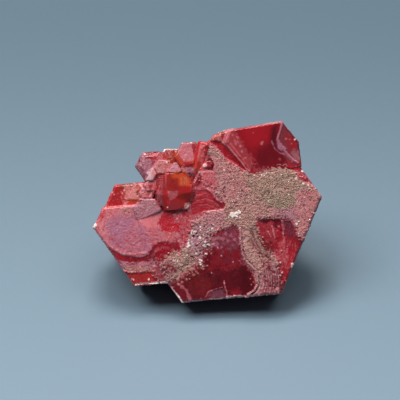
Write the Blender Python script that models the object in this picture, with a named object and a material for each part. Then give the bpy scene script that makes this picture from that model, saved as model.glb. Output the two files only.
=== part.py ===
"""A vanadinite specimen: red hexagonal crystals grown into one another, as one solid.

The crystals are placed in the frame of the two large plates' front face, in millimetres:
across to the right, up the face, and out of it. The face leans back by FACE_LEAN, and the
cluster stands on the flat break where it came off its rock. World units are metres, +Z is up,
and the origin is the middle of the bottom of the cluster's box.
"""

import math
from dataclasses import dataclass

import bmesh
import bpy
from mathutils import Matrix, Vector

MM = 0.001

# The large face: the direction that it looks is this far above the horizon
FACE_LEAN = math.radians(38)
# The middle of the large face, from the middle of the bottom of the box
FACE_MIDDLE = Vector((-0.275, -3.269, 10.0))

# Hexagon of the plates: its bottom edge climbs to the right by this much
PLATE_TURN = 5.3
# Narrow pyramid faces between an end face and the side faces
RIM = 0.2
RIM_SLOPE = math.radians(45)
# A block that every crystal is cut from
BLOCK = 60.0
# Corners of a crystal that are closer than this are one
WELD = 0.001


@dataclass
class Crystal:
    """One hexagonal crystal, cut by the flat faces that bound it."""

    name: str
    middle: tuple  # the middle of its outer end face: across, up and out
    sides: tuple  # distance from its axis to each side face, anticlockwise from upper right
    depth: float  # its length behind the outer end face
    facing: tuple = (0, 0, 1)  # where the outer end face looks
    turn: float = PLATE_TURN  # degrees that the hexagon is turned about its axis
    rim: float = RIM
    chips: tuple = ()  # more flat side faces, each (direction in degrees, distance)
    tip: float = 0.0  # how far the outer end face reaches from the axis, where it is a small one
    tip_height: float = 0.0  # how far it stands above the side faces then


def regular(distance):
    """Six side faces at one distance from the axis."""
    return (distance,) * 6


CRYSTALS = [
    Crystal(
        "right_plate",
        (4.0, -0.6, 0.0),
        (8.5, 9.75, 6.6, 10.75, 8.74, 8.6),
        6.0,
        chips=((110.2, 9.55), (337.4, 7.3)),
    ),
    Crystal("left_plate", (-6.2, -2.4, -0.06), (5.3, 3.35, 5.8, 4.6, 5.6, 5.0), 4.4, turn=5.0),
    Crystal("left_ledge", (-6.4, -1.6, -0.6), (4.5, 4.9, 5.12, 4.7, 6.25, 4.2), 6.0, turn=6.0),
    Crystal(
        "top_plate",
        (5.5, 6.0, 0.17),
        (4.76, 3.36, 3.75, 1.57, 1.85, 5.4),
        3.4,
        (0.0, -0.06, 1),
        turn=9.4,
        rim=0.08,
        chips=((7.2, 4.94),),
    ),
    # Small crystals at the upper left of the plates
    Crystal(
        "violet_crystal",
        (-5.95, 5.15, -0.15),
        (1.7, 1.5, 1.6, 1.55, 1.65, 1.75),
        5.2,
        (-0.08, 0.1, 1),
        turn=4,
        tip=0.95,
        tip_height=0.4,
    ),
    Crystal(
        "lilac_crystal",
        (-5.95, 4.15, 0.25),
        (0.55, 0.9, 0.22, 0.92, 0.7, 0.55),
        3.0,
        (-0.25, 0.12, 1),
        turn=0,
        rim=0.08,
    ),
    Crystal(
        "grainy_crystal",
        (-4.6, 5.0, 0.1),
        (1.1, 0.75, 0.85, 1.0, 0.85, 1.0),
        3.0,
        (0.05, 0.08, 1),
        turn=0,
        rim=0.14,
    ),
    Crystal(
        "crown_crystal",
        (-3.75, 5.95, -0.9),
        (1.2, 1.02, 1.15, 1.0, 1.0, 1.1),
        4.2,
        (0.05, 0.1, 1),
        turn=0,
        rim=0.15,
    ),
    Crystal(
        "rose_crystal",
        (-1.9, 6.62, -0.3),
        (1.32, 1.12, 1.1, 1.57, 1.6, 1.3),
        4.4,
        (-0.08, 0.2, 1),
        turn=2,
        rim=0.16,
    ),
    Crystal(
        "scarlet_prism", (-0.12, 7.72, -0.2), regular(0.58), 4.2, (0.22, 0.95, 0.11), 0, 0.12
    ),
    Crystal("wine_stud", (0.42, 5.25, 0.1), regular(0.48), 2.4, (-0.1, 0.16, 1), 0, 0.16),
    Crystal(
        "amber_crystal",
        (-3.48, 1.88, 0.82),
        (2.2, 2.35, 1.8, 1.65, 1.68, 1.88),
        5.0,
        (0.03, -0.04, 1),
        turn=3,
        tip=0.56,
        tip_height=0.42,
    ),
    Crystal(
        "amber_shoulder",
        (-3.25, 4.75, 0.42),
        (0.48, 0.7, 0.54, 0.78, 0.55, 0.7),
        3.4,
        (-0.1, 0.22, 1),
        turn=0,
        rim=0.1,
    ),
    Crystal(
        "lower_bead",
        (-6.45, 2.15, 0.05),
        (0.85, 0.55, 0.75, 0.8, 0.72, 0.85),
        2.6,
        (-0.12, 0.12, 1),
        turn=0,
        rim=0.16,
    ),
    Crystal(
        "upper_bead",
        (-5.85, 2.9, 0.15),
        (0.85, 0.7, 0.75, 0.75, 0.65, 0.8),
        2.6,
        (0.1, 0.15, 1),
        turn=0,
        rim=0.14,
    ),
    Crystal(
        "pink_crystal",
        (-4.85, 3.3, 0.08),
        (1.0, 1.0, 0.6, 2.3, 2.3, 0.6),
        3.0,
        (-0.04, 0.05, 1),
        turn=30,
        rim=0.1,
    ),
    Crystal(
        "grey_wedge",
        (-6.4, 0.4, 0.1),
        (1.41, 1.05, 1.25, 1.48, 1.4, 1.45),
        3.2,
        (-0.1, -0.06, 1),
        turn=0,
        rim=0.12,
        chips=((293.5, 0.92),),
    ),
    Crystal(
        "dusky_stud",
        (-1.75, 4.25, -0.1),
        (0.95, 1.02, 1.1, 1.15, 1.2, 0.95),
        2.4,
        (0.05, -0.05, 1),
        turn=0,
        rim=0.08,
    ),
    Crystal(
        "pale_grain",
        (-1.97, 0.68, 0.22),
        (0.4, 0.28, 0.2, 0.38, 0.28, 0.2),
        1.2,
        (0.1, 0.2, 1),
        turn=12,
        rim=0.06,
    ),
    Crystal("bright_grain", (-0.04, 5.1, 0.16), regular(0.17), 1.2, (-0.2, 0.2, 1), 35, 0.04),
    # The back, where the plates came off the rock
    Crystal("back_plate", (3.2, -0.8, -11.4), (6.0, 6.4, 5.6, 6.6, 6.2, 5.9), 8.0, (0, 0, -1)),
    Crystal("back_left", (-5.8, -1.6, -9.6), regular(4.1), 7.0, (-0.18, 0.05, -1), 12),
    Crystal("back_top", (4.6, 6.2, -8.2), regular(2.4), 6.6, (0.1, 0.35, -1), 26),
    Crystal("back_crown", (-1.2, 4.7, -7.4), regular(2.1), 6.0, (-0.15, 0.45, -1), 8),
    Crystal("back_right", (9.2, 0.4, -8.0), regular(1.9), 6.0, (0.55, 0.15, -1), 18),
    Crystal("back_shoulder", (-8.4, 1.2, -6.6), regular(1.5), 4.8, (-0.5, 0.3, -1), 31),
    Crystal("saddle_prism", (1.2, 7.8, -3.9), regular(0.9), 3.6, (0.1, 0.9, -0.45), 11),
    Crystal("ledge_prism", (-8.0, 2.6, -3.2), regular(0.85), 3.0, (-0.25, 0.9, -0.5), 40),
    Crystal("right_prism", (10.8, -1.1, -3.6), regular(0.95), 3.6, (0.9, -0.25, -0.6), 24),
    Crystal("left_prism", (-10.7, -1.9, -2.9), regular(0.8), 3.0, (-0.9, 0.15, -0.5), 5),
]


def clear_scene():
    """Removes whatever the file opened with."""
    for obj in list(bpy.data.objects):
        bpy.data.objects.remove(obj)


def new_collection(name):
    collection = bpy.data.collections.new(name)
    bpy.context.scene.collection.children.link(collection)
    return collection


def cut(bm, point, normal):
    """Takes away what lies past a plane of a convex block, and closes the cut with one face."""
    geometry = bm.verts[:] + bm.edges[:] + bm.faces[:]
    made = bmesh.ops.bisect_plane(
        bm, geom=geometry, plane_co=point, plane_no=normal, clear_outer=True
    )
    edges = [item for item in made["geom_cut"] if isinstance(item, bmesh.types.BMEdge)]
    if len(edges) > 2:
        bmesh.ops.contextual_create(bm, geom=edges)


def end_faces(crystal):
    """The outer and inner end face of a crystal, each as the point and the normal of a plane."""
    up = Vector((0, 0, 1))
    return [(Vector((0, 0, 0)), up), (-up * crystal.depth, -up)]


def side_faces(crystal):
    """The side faces, and the rim faces that they meet each end face with."""
    hexagon = [(crystal.turn + 30 + 60 * i, d) for i, d in enumerate(crystal.sides)]
    for degrees, distance in hexagon + list(crystal.chips):
        angle = math.radians(degrees)
        outward = Vector((math.cos(angle), math.sin(angle), 0))
        yield outward * distance, outward
        for end_point, end_normal in end_faces(crystal):
            rim, drop = crystal.rim, RIM_SLOPE
            if crystal.tip and end_normal.z > 0:
                rim = distance - crystal.tip
                drop = math.atan2(crystal.tip_height, rim)
            slope = outward * math.sin(drop) + end_normal * math.cos(drop)
            yield end_point + outward * (distance - rim), slope


def crystal_mesh(crystal):
    """The crystal's own closed mesh: a block cut by each of its faces, in millimetres."""
    bm = bmesh.new()
    bmesh.ops.create_cube(bm, size=BLOCK)
    for point, normal in end_faces(crystal) + list(side_faces(crystal)):
        cut(bm, point, normal)
    bmesh.ops.remove_doubles(bm, verts=bm.verts[:], dist=WELD)
    bmesh.ops.recalc_face_normals(bm, faces=bm.faces[:])
    mesh = bpy.data.meshes.new(crystal.name)
    bm.to_mesh(mesh)
    bm.free()
    return mesh


def face_frame():
    """The matrix from the large face's frame, in millimetres, to the world, in metres."""
    across = Vector((1, 0, 0))
    up = Vector((0, math.sin(FACE_LEAN), math.cos(FACE_LEAN)))
    out = Vector((0, -math.cos(FACE_LEAN), math.sin(FACE_LEAN)))
    turned = Matrix((across, up, out)).transposed().to_4x4()
    return Matrix.Translation(FACE_MIDDLE * MM) @ turned @ Matrix.Scale(MM, 4)


def crystal_place(crystal):
    """The matrix from a crystal's own frame to the large face's frame."""
    lean = Vector((0, 0, 1)).rotation_difference(Vector(crystal.facing).normalized())
    return Matrix.Translation(crystal.middle) @ lean.to_matrix().to_4x4()


def add_crystal(crystal, collection):
    """The crystal as an object, with its place and size in its mesh."""
    mesh = crystal_mesh(crystal)
    mesh.transform(face_frame() @ crystal_place(crystal))
    obj = bpy.data.objects.new(crystal.name, mesh)
    collection.objects.link(obj)
    return obj


def as_guide(obj):
    """Hides a shape that only helps to make the cluster."""
    obj.hide_render = True
    obj.display_type = "WIRE"


def add_ground(collection):
    """The block below the surface, which cuts the flat break that the cluster rests on."""
    bm = bmesh.new()
    bmesh.ops.create_cube(bm, size=BLOCK * MM)
    mesh = bpy.data.meshes.new("ground_cutter")
    bm.to_mesh(mesh)
    bm.free()
    mesh.transform(Matrix.Translation((0, 0, -BLOCK * MM / 2)))
    obj = bpy.data.objects.new("ground_cutter", mesh)
    collection.objects.link(obj)
    return obj


def vanadinite_red():
    material = bpy.data.materials.new("vanadinite_red")
    material.use_nodes = True
    shader = material.node_tree.nodes["Principled BSDF"]
    shader.inputs["Base Color"].default_value = (0.35, 0.035, 0.05, 1)
    shader.inputs["Roughness"].default_value = 0.3
    shader.inputs["Metallic"].default_value = 0
    return material


def grow_together(cluster, neighbours, ground):
    """Joins the neighbours to the first crystal, and cuts the flat break."""
    union = cluster.modifiers.new("grown_together", "BOOLEAN")
    union.operation = "UNION"
    union.operand_type = "COLLECTION"
    union.collection = neighbours
    union.solver = "EXACT"
    break_cut = cluster.modifiers.new("flat_break", "BOOLEAN")
    break_cut.operation = "DIFFERENCE"
    break_cut.object = ground
    break_cut.solver = "EXACT"


def main():
    clear_scene()
    specimen = new_collection("vanadinite")
    neighbours = new_collection("crystals_to_join")
    cutters = new_collection("cutters")

    cluster = add_crystal(CRYSTALS[0], specimen)
    cluster.name = "crystal_cluster"
    cluster.data.materials.append(vanadinite_red())
    for crystal in CRYSTALS[1:]:
        as_guide(add_crystal(crystal, neighbours))
    ground = add_ground(cutters)
    as_guide(ground)
    grow_together(cluster, neighbours, ground)


main()
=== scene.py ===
# %% [markdown]
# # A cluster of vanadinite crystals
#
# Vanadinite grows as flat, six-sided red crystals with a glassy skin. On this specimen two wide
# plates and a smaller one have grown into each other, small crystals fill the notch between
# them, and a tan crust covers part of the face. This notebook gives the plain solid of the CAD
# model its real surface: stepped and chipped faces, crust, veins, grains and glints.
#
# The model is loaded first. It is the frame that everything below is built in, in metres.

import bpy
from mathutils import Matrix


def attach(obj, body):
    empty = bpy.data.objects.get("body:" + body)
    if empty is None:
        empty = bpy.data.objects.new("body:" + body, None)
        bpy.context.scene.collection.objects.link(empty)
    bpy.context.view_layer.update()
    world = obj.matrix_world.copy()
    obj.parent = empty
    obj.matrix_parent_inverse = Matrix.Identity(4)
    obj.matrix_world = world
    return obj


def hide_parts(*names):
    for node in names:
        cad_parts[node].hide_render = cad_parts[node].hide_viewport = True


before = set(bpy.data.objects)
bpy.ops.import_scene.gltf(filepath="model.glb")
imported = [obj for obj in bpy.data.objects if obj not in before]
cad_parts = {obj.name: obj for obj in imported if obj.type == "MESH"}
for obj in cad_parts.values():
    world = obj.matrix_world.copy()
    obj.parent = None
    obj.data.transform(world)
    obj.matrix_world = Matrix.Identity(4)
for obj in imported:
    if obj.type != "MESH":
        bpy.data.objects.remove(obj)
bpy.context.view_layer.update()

# %% [markdown]
# ## The frame of the face
#
# Nearly everything that shows lies on one face, which leans back by 38 degrees. It is easier to
# work in millimetres across that face, up it and out of it than in world coordinates, so one
# matrix turns the first into the second. The CAD model was made in the same way.

# %% Millimetres of the face to metres of the world
import math
from dataclasses import dataclass

import bmesh
import bpy
import numpy as np
from mathutils import Matrix, Vector, noise
from mathutils.geometry import delaunay_2d_cdt

MM = 0.001
FACE_LEAN = math.radians(38)
FACE_MIDDLE = Vector((-0.275, -3.269, 10.0))


def face_turn():
    """The directions across the face, up it and out of it, as a rotation."""
    across = Vector((1, 0, 0))
    up = Vector((0, math.sin(FACE_LEAN), math.cos(FACE_LEAN)))
    out = Vector((0, -math.cos(FACE_LEAN), math.sin(FACE_LEAN)))
    return Matrix((across, up, out)).transposed().to_4x4()


FACE = Matrix.Translation(FACE_MIDDLE * MM) @ face_turn() @ Matrix.Scale(MM, 4)
print("The face looks towards", [round(x, 3) for x in face_turn().col[2][:3]])

# %% [markdown]
# ## Camera
#
# A specimen is best seen square on to its main face, from far enough away that its edges stay
# parallel. The camera stands 200 mm out from the face, and its lens takes in 44 mm there.

# %% Camera
CAMERA_AWAY = 200
PICTURE_WIDTH = 44
PICTURE_MIDDLE = (-0.55, 1.32)
SENSOR = 36


def add_camera():
    data = bpy.data.cameras.new("camera")
    data.sensor_width = SENSOR
    data.lens = SENSOR * CAMERA_AWAY / PICTURE_WIDTH
    data.clip_start = 0.01
    data.clip_end = 10
    camera = bpy.data.objects.new("camera", data)
    camera.matrix_world = face_turn()
    camera.location = FACE @ Vector((*PICTURE_MIDDLE, CAMERA_AWAY))
    bpy.context.scene.collection.objects.link(camera)
    bpy.context.scene.camera = camera
    return camera


camera = add_camera()
print(f"The lens is {camera.data.lens:.0f} mm, on a sensor {SENSOR} mm wide")

# %% [markdown]
# ## Maths with nodes
#
# A finish mixes many masks, and a row of maths nodes is hard to read. This class wraps a socket,
# so that `1 - crust` or `haze * 0.6` adds the nodes that work it out. A second class holds a node
# tree, with one method that adds any other kind of node. Both serve the finishes and, further
# down, the tree that sows grains. A finish is a node tree that belongs to a material.

# %% Sockets that can be added and multiplied
class Value:
    """An output socket of a node, which adds Math nodes when it is used in a sum."""

    def __init__(self, nodes, socket):
        self.nodes = nodes
        self.socket = socket

    def maths(self, operation, *numbers):
        settings = {"operation": operation}
        return self.nodes.node("ShaderNodeMath", settings, dict(enumerate(numbers)))

    def __add__(self, other):
        return self.maths("ADD", self, other)

    def __sub__(self, other):
        return self.maths("SUBTRACT", self, other)

    def __rsub__(self, other):
        return self.maths("SUBTRACT", other, self)

    def __mul__(self, other):
        return self.maths("MULTIPLY", self, other)

    __radd__ = __add__
    __rmul__ = __mul__

    def __gt__(self, other):
        return self.maths("GREATER_THAN", self, other)

    def steps_between(self, low, high):
        """0 below `low`, 1 above `high` and a smooth rise between them."""
        settings = {"interpolation_type": "SMOOTHSTEP", "clamp": True}
        return self.nodes.node("ShaderNodeMapRange", settings, {0: self, 1: low, 2: high})

    def other(self, output):
        """Another output of the same node."""
        return Value(self.nodes, self.socket.node.outputs[output])


# %% A node tree, and a material's
class Nodes:
    """A node tree, with a way to add nodes to it."""

    def __init__(self, tree):
        self.tree = tree

    def node(self, kind, settings, inputs, output=0):
        """Adds a node, sets its settings, then its sockets, and returns one of its outputs."""
        node = self.tree.nodes.new(kind)
        for name, value in settings.items():
            setattr(node, name, value)
        self.feed(node, inputs)
        return Value(self, node.outputs[output]) if len(node.outputs) else node

    def feed(self, node, inputs):
        """Gives sockets of a node their values or their links."""
        for name, value in inputs.items():
            if isinstance(value, Value):
                self.tree.links.new(value.socket, node.inputs[name])
            else:
                node.inputs[name].default_value = value


class Finish(Nodes):
    """A material's node tree, with its Principled BSDF."""

    def __init__(self, name):
        self.material = bpy.data.materials.new(name)
        self.material.use_nodes = True
        super().__init__(self.material.node_tree)
        self.shader = self.tree.nodes["Principled BSDF"]

    def attribute(self, name):
        """A number that the piece's points carry."""
        return self.node("ShaderNodeAttribute", {"attribute_name": name}, {}, "Fac")

    def mix(self, share, first, second, blend="MIX"):
        """The first colour where the share is 0 and the second where it is 1."""
        # The node has its own sockets for each kind of value, and 6 and 7 take colours
        settings = {"data_type": "RGBA", "blend_type": blend}
        return self.node("ShaderNodeMix", settings, {0: share, 6: first, 7: second}, 2)


def colour(red, green, blue):
    """A colour as a screen shows it, 0 to 255, in the linear light that shaders use."""
    def linear(level):
        level /= 255
        return level / 12.92 if level <= 0.04045 else ((level + 0.055) / 1.055) ** 2.4

    return (linear(red), linear(green), linear(blue), 1)

# %% [markdown]
# ## The crystals
#
# Each crystal is a six-sided prism between two flat end faces, with narrow slanting faces at
# the rims. The list repeats the CAD model's: where the middle of the outer end face is, how
# far the side faces stand from the axis, how deep the crystal goes and where it faces.

# %% The list of crystals
PLATE_TURN = 5.3
RIM = 0.2
RIM_SLOPE = math.radians(45)


@dataclass
class Crystal:
    """One hexagonal crystal, cut by the flat faces that bound it. Sizes are in millimetres."""

    name: str
    middle: tuple  # the middle of its outer end face: across, up and out
    sides: tuple  # distance from its axis to each side face, anticlockwise from upper right
    depth: float  # its length behind the outer end face
    facing: tuple = (0, 0, 1)  # where the outer end face looks
    turn: float = PLATE_TURN  # degrees that the hexagon is turned about its axis
    rim: float = RIM
    chips: tuple = ()  # more flat side faces, each (direction in degrees, distance)
    tip: float = 0.0  # how far the outer end face reaches from the axis, where it is a small one
    tip_height: float = 0.0  # how far it stands above the side faces then


def regular(distance):
    """Six side faces at one distance from the axis."""
    return (distance,) * 6


PLATES = [
    Crystal("right_plate", (4.0, -0.6, 0.0), (8.5, 9.75, 6.6, 10.75, 8.74, 8.6), 6.0,
            chips=((110.2, 9.55), (337.4, 7.3))),
    Crystal("left_plate", (-6.2, -2.4, -0.06), (5.3, 3.35, 5.8, 4.6, 5.6, 5.0), 4.4, turn=5.0),
    Crystal("left_ledge", (-6.4, -1.6, -0.6), (4.5, 4.9, 5.12, 4.7, 6.25, 4.2), 6.0, turn=6.0),
    Crystal("top_plate", (5.5, 6.0, 0.17), (4.76, 3.36, 3.75, 1.57, 1.85, 5.4), 3.4,
            (0.0, -0.06, 1), turn=9.4, rim=0.08, chips=((7.2, 4.94),)),
]
SMALL_CRYSTALS = [
    Crystal("violet_crystal", (-5.95, 5.15, -0.15), (1.7, 1.5, 1.6, 1.55, 1.65, 1.75), 5.2,
            (-0.08, 0.1, 1), turn=4, tip=0.95, tip_height=0.4),
    Crystal("lilac_crystal", (-5.95, 4.15, 0.25), (0.55, 0.9, 0.22, 0.92, 0.7, 0.55), 3.0,
            (-0.25, 0.12, 1), turn=0, rim=0.08),
    Crystal("grainy_crystal", (-4.6, 5.0, 0.1), (1.1, 0.75, 0.85, 1.0, 0.85, 1.0), 3.0,
            (0.05, 0.08, 1), turn=0, rim=0.14),
    Crystal("crown_crystal", (-3.75, 5.95, -0.9), (1.2, 1.02, 1.15, 1.0, 1.0, 1.1), 4.2,
            (0.05, 0.1, 1), turn=0, rim=0.15),
    Crystal("rose_crystal", (-1.9, 6.62, -0.3), (1.32, 1.12, 1.1, 1.57, 1.6, 1.3), 4.4,
            (-0.08, 0.2, 1), turn=2, rim=0.16),
    Crystal("scarlet_prism", (-0.12, 7.72, -0.2), regular(0.58), 4.2, (0.22, 0.95, 0.11), 0, 0.12),
    Crystal("wine_stud", (0.42, 5.25, 0.1), regular(0.48), 2.4, (-0.1, 0.16, 1), 0, 0.16),
    Crystal("amber_crystal", (-3.48, 1.88, 0.82), (2.2, 2.35, 1.8, 1.65, 1.68, 1.88), 5.0,
            (0.03, -0.04, 1), turn=3, tip=0.56, tip_height=0.42),
    Crystal("amber_shoulder", (-3.25, 4.75, 0.42), (0.48, 0.7, 0.54, 0.78, 0.55, 0.7), 3.4,
            (-0.1, 0.22, 1), turn=0, rim=0.1),
    Crystal("lower_bead", (-6.45, 2.15, 0.05), (0.85, 0.55, 0.75, 0.8, 0.72, 0.85), 2.6,
            (-0.12, 0.12, 1), turn=0, rim=0.16),
    Crystal("upper_bead", (-5.85, 2.9, 0.15), (0.85, 0.7, 0.75, 0.75, 0.65, 0.8), 2.6,
            (0.1, 0.15, 1), turn=0, rim=0.14),
    Crystal("pink_crystal", (-4.85, 3.3, 0.08), (1.0, 1.0, 0.6, 2.3, 2.3, 0.6), 3.0,
            (-0.04, 0.05, 1), turn=30, rim=0.1),
    Crystal("grey_wedge", (-6.4, 0.4, 0.1), (1.41, 1.05, 1.25, 1.48, 1.4, 1.45), 3.2,
            (-0.1, -0.06, 1), turn=0, rim=0.12, chips=((293.5, 0.92),)),
    Crystal("dusky_stud", (-1.75, 4.25, -0.1), (0.95, 1.02, 1.1, 1.15, 1.2, 0.95), 2.4,
            (0.05, -0.05, 1), turn=0, rim=0.08),
    Crystal("pale_grain", (-1.97, 0.68, 0.22), (0.4, 0.28, 0.2, 0.38, 0.28, 0.2), 1.2,
            (0.1, 0.2, 1), turn=12, rim=0.06),
    Crystal("bright_grain", (-0.04, 5.1, 0.16), regular(0.17), 1.2, (-0.2, 0.2, 1), 35, 0.04),
]
BACK_CRYSTALS = [
    Crystal("back_plate", (3.2, -0.8, -11.4), (6.0, 6.4, 5.6, 6.6, 6.2, 5.9), 8.0, (0, 0, -1)),
    Crystal("back_left", (-5.8, -1.6, -9.6), regular(4.1), 7.0, (-0.18, 0.05, -1), 12),
    Crystal("back_top", (4.6, 6.2, -8.2), regular(2.4), 6.6, (0.1, 0.35, -1), 26),
    Crystal("back_crown", (-1.2, 4.7, -7.4), regular(2.1), 6.0, (-0.15, 0.45, -1), 8),
    Crystal("back_right", (9.2, 0.4, -8.0), regular(1.9), 6.0, (0.55, 0.15, -1), 18),
    Crystal("back_shoulder", (-8.4, 1.2, -6.6), regular(1.5), 4.8, (-0.5, 0.3, -1), 31),
    Crystal("saddle_prism", (1.2, 7.8, -3.9), regular(0.9), 3.6, (0.1, 0.9, -0.45), 11),
    Crystal("ledge_prism", (-8.0, 2.6, -3.2), regular(0.85), 3.0, (-0.25, 0.9, -0.5), 40),
    Crystal("right_prism", (10.8, -1.1, -3.6), regular(0.95), 3.6, (0.9, -0.25, -0.6), 24),
    Crystal("left_prism", (-10.7, -1.9, -2.9), regular(0.8), 3.0, (-0.9, 0.15, -0.5), 5),
]

# %% [markdown]
# ## A crystal as a closed solid
#
# A crystal is what is left of a block when each of its faces has cut it, which is also how the
# CAD model makes it. The surface that the specimen stands on is one more cut, the flat break.

# %% Cutting a crystal
BLOCK = 60.0
WELD = 0.001


def cut(solid, point, normal):
    """Takes away what lies past a plane of a convex block, and closes the cut with one face."""
    geometry = solid.verts[:] + solid.edges[:] + solid.faces[:]
    made = bmesh.ops.bisect_plane(
        solid, geom=geometry, plane_co=point, plane_no=normal, clear_outer=True
    )
    edges = [item for item in made["geom_cut"] if isinstance(item, bmesh.types.BMEdge)]
    if len(edges) > 2:
        bmesh.ops.contextual_create(solid, geom=edges)


def side_directions(crystal):
    """The direction and the distance of each side face, chips included."""
    hexagon = [(crystal.turn + 30 + 60 * i, d) for i, d in enumerate(crystal.sides)]
    for degrees, distance in hexagon + list(crystal.chips):
        angle = math.radians(degrees)
        yield Vector((math.cos(angle), math.sin(angle), 0)), distance


def crystal_place(crystal):
    """The matrix from a crystal's own frame to the frame of the large face."""
    lean = Vector((0, 0, 1)).rotation_difference(Vector(crystal.facing).normalized())
    return Matrix.Translation(crystal.middle) @ lean.to_matrix().to_4x4()


def crystal_solid(crystal):
    """The closed convex solid of a crystal, in millimetres of the large face."""
    solid = bmesh.new()
    bmesh.ops.create_cube(solid, size=BLOCK)
    up = Vector((0, 0, 1))
    ends = [(Vector((0, 0, 0)), up), (-up * crystal.depth, -up)]
    for point, normal in ends:
        cut(solid, point, normal)
    for outward, distance in side_directions(crystal):
        cut(solid, outward * distance, outward)
        for point, normal in ends:
            rim, drop = crystal.rim, RIM_SLOPE
            if crystal.tip and normal.z > 0:
                rim = distance - crystal.tip
                drop = math.atan2(crystal.tip_height, rim)
            slope = outward * math.sin(drop) + normal * math.cos(drop)
            cut(solid, point + outward * (distance - rim), slope)
    bmesh.ops.transform(solid, matrix=crystal_place(crystal), verts=solid.verts)
    floor_point = FACE.inverted() @ Vector((0, 0, 0))
    down = (face_turn().inverted() @ Vector((0, 0, -1))).normalized()
    cut(solid, floor_point, down)
    bmesh.ops.remove_doubles(solid, verts=solid.verts[:], dist=WELD)
    bmesh.ops.recalc_face_normals(solid, faces=solid.faces[:])
    solid.verts.index_update()
    return solid


# %% [markdown]
# ## From flat faces to a fine mesh
#
# A vein or a grain of the crust is only a tenth of a millimetre wide, so the large faces need
# points that are closer together than that, and the back doesn't. A subdivision surface can't
# grade its faces and would round the edges. So points are laid along each edge, shared by the
# two faces there, then over each face on a shaken triangular grid, and a constrained Delaunay
# triangulation joins them. The mesh stays closed, and no rows of the grid show.

# %% The fine mesh
# How the Delaunay triangulation is done: only inside the outline, with points this close as one
INSIDE_ONLY = 1
MERGED = 1e-6
SHAKE = 0.22
EDGE_CLEARANCE = 0.5
ROW_HEIGHT = 0.866
# How far out of the large face the normal of a face points, at most 1
FACES_CAMERA = 0.55
FACES_SIDEWAYS = -0.3
BACK_SPREAD = 1.6


def grid_inside(corners, spacing, random):
    """Points of a shaken triangular grid inside a convex outline that runs anticlockwise."""
    low = corners.min(0)
    high = corners.max(0)
    columns, rows = np.meshgrid(
        np.arange(low[0], high[0], spacing), np.arange(low[1], high[1], spacing * ROW_HEIGHT)
    )
    columns[1::2] += spacing / 2
    points = np.stack((columns.ravel(), rows.ravel()), 1)
    points += random.uniform(-SHAKE, SHAKE, points.shape) * spacing
    for start, end in zip(corners, np.roll(corners, -1, 0)):
        edge = (end - start) / np.linalg.norm(end - start)
        inward = np.array((-edge[1], edge[0]))
        points = points[(points - start) @ inward > spacing * EDGE_CLEARANCE]
    return points


def points_between(solid, points, spacing):
    """Adds the points along each edge to the list, and says which they are."""
    between = {}
    for edge in solid.edges:
        step = min(spacing(face) for face in edge.link_faces)
        count = max(1, round(edge.calc_length() / step))
        start, end = (vertex.co for vertex in edge.verts)
        between[edge] = range(len(points), len(points) + count - 1)
        points += [start.lerp(end, i / count) for i in range(1, count)]
    return between


def fill_face(face, points, between, spacing, random):
    """Adds one face's inner points to the list, and returns its triangles."""
    loop = []
    for corner in face.loops:
        run = list(between[corner.edge])
        forwards = corner.edge.verts[0] == corner.vert
        loop += [corner.vert.index] + (run if forwards else run[::-1])
    across = (face.verts[1].co - face.verts[0].co).normalized()
    up = face.normal.cross(across)
    base = face.normal * face.normal.dot(face.verts[0].co)
    flat = [Vector((points[i].dot(across), points[i].dot(up))) for i in loop]
    corners = np.array([(v.co.dot(across), v.co.dot(up)) for v in face.verts])
    inner = [Vector(point) for point in grid_inside(corners, spacing(face), random).tolist()]
    ring = [(i, (i + 1) % len(loop)) for i in range(len(loop))]
    found = delaunay_2d_cdt(flat + inner, ring, [], INSIDE_ONLY, MERGED)
    triangles, originals = found[2:4]
    index = loop + list(range(len(points), len(points) + len(inner)))
    points += [across * point.x + up * point.y + base for point in inner]
    back = [index[original[0]] for original in originals]
    return [tuple(back[i] for i in triangle) for triangle in triangles]


def fine_mesh(name, solid, spacing, random):
    """A mesh of the same closed shape as the solid, in small triangles."""
    points = [vertex.co.copy() for vertex in solid.verts]
    between = points_between(solid, points, spacing)
    triangles = []
    for face in solid.faces:
        triangles += fill_face(face, points, between, spacing, random)
    mesh = bpy.data.meshes.new(name)
    mesh.from_pydata(points, [], triangles)
    mesh.update()
    return mesh


def spacing_for(fine, coarse):
    """Points lie closely on what faces the camera, and further apart on the sides and back."""
    def spacing(face):
        if face.normal.z > FACES_CAMERA:
            return fine
        return coarse if face.normal.z > FACES_SIDEWAYS else coarse * BACK_SPREAD

    return spacing

# %% [markdown]
# ## What covers each point
#
# The look of a point on this specimen comes from a few causes, and each is one number from 0
# to 1 there:
#
# - dark: how deep the clear red is, from bright red to maroon
# - orange: how far the red goes to orange
# - milky: how much a cloudy pink film hides the red
# - lilac: how far that film goes from coral to lilac; the lilac stands for a bluish sheen of the
#   room's light on the frosted film, painted into its colour
# - crust: how much tan crust lies on it
# - olive: how far the crust goes from pinkish tan to olive brown
# - grime: painted shade, a dark brown in pits, cracks, grooves and under ledges
# - pale: crushed, near white edges, veins and specks, and painted highlights and glints on rims and
#   top edges
# - mottle: how strongly fine noise breaks up its colour
# - tone: lighter or darker than usual, with 0.5 as usual
# - grain: how closely loose grains lie on it
#
# One more, rise, is how far the point stands out from the flat face, in millimetres. The
# numbers become attributes of the mesh, and one material reads them all.

# %% Noise over the points of a piece
CHANNELS = (
    "dark", "orange", "milky", "lilac", "crust", "olive", "grime", "pale", "mottle", "tone",
    "grain", "rise",
)
# A sine of a sum with these, made large, has digits that look random
HASH = np.array((12.9898, 78.233, 37.719))
HASH_SIZE = 43758.5453


def smooth(low, high, value):
    """0 below `low`, 1 above `high` and a smooth rise between them."""
    share = np.clip((value - low) / (high - low), 0, 1)
    return share * share * (3 - 2 * share)


def rough(points, size, salt=0, octaves=4):
    """Fractal noise, about -1 to 1, whose widest lumps are about `size` millimetres."""
    at = (points / size + 31.7 * salt).tolist()
    return np.array([noise.fractal(point, 0.7, 2.0, octaves) for point in at])


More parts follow.
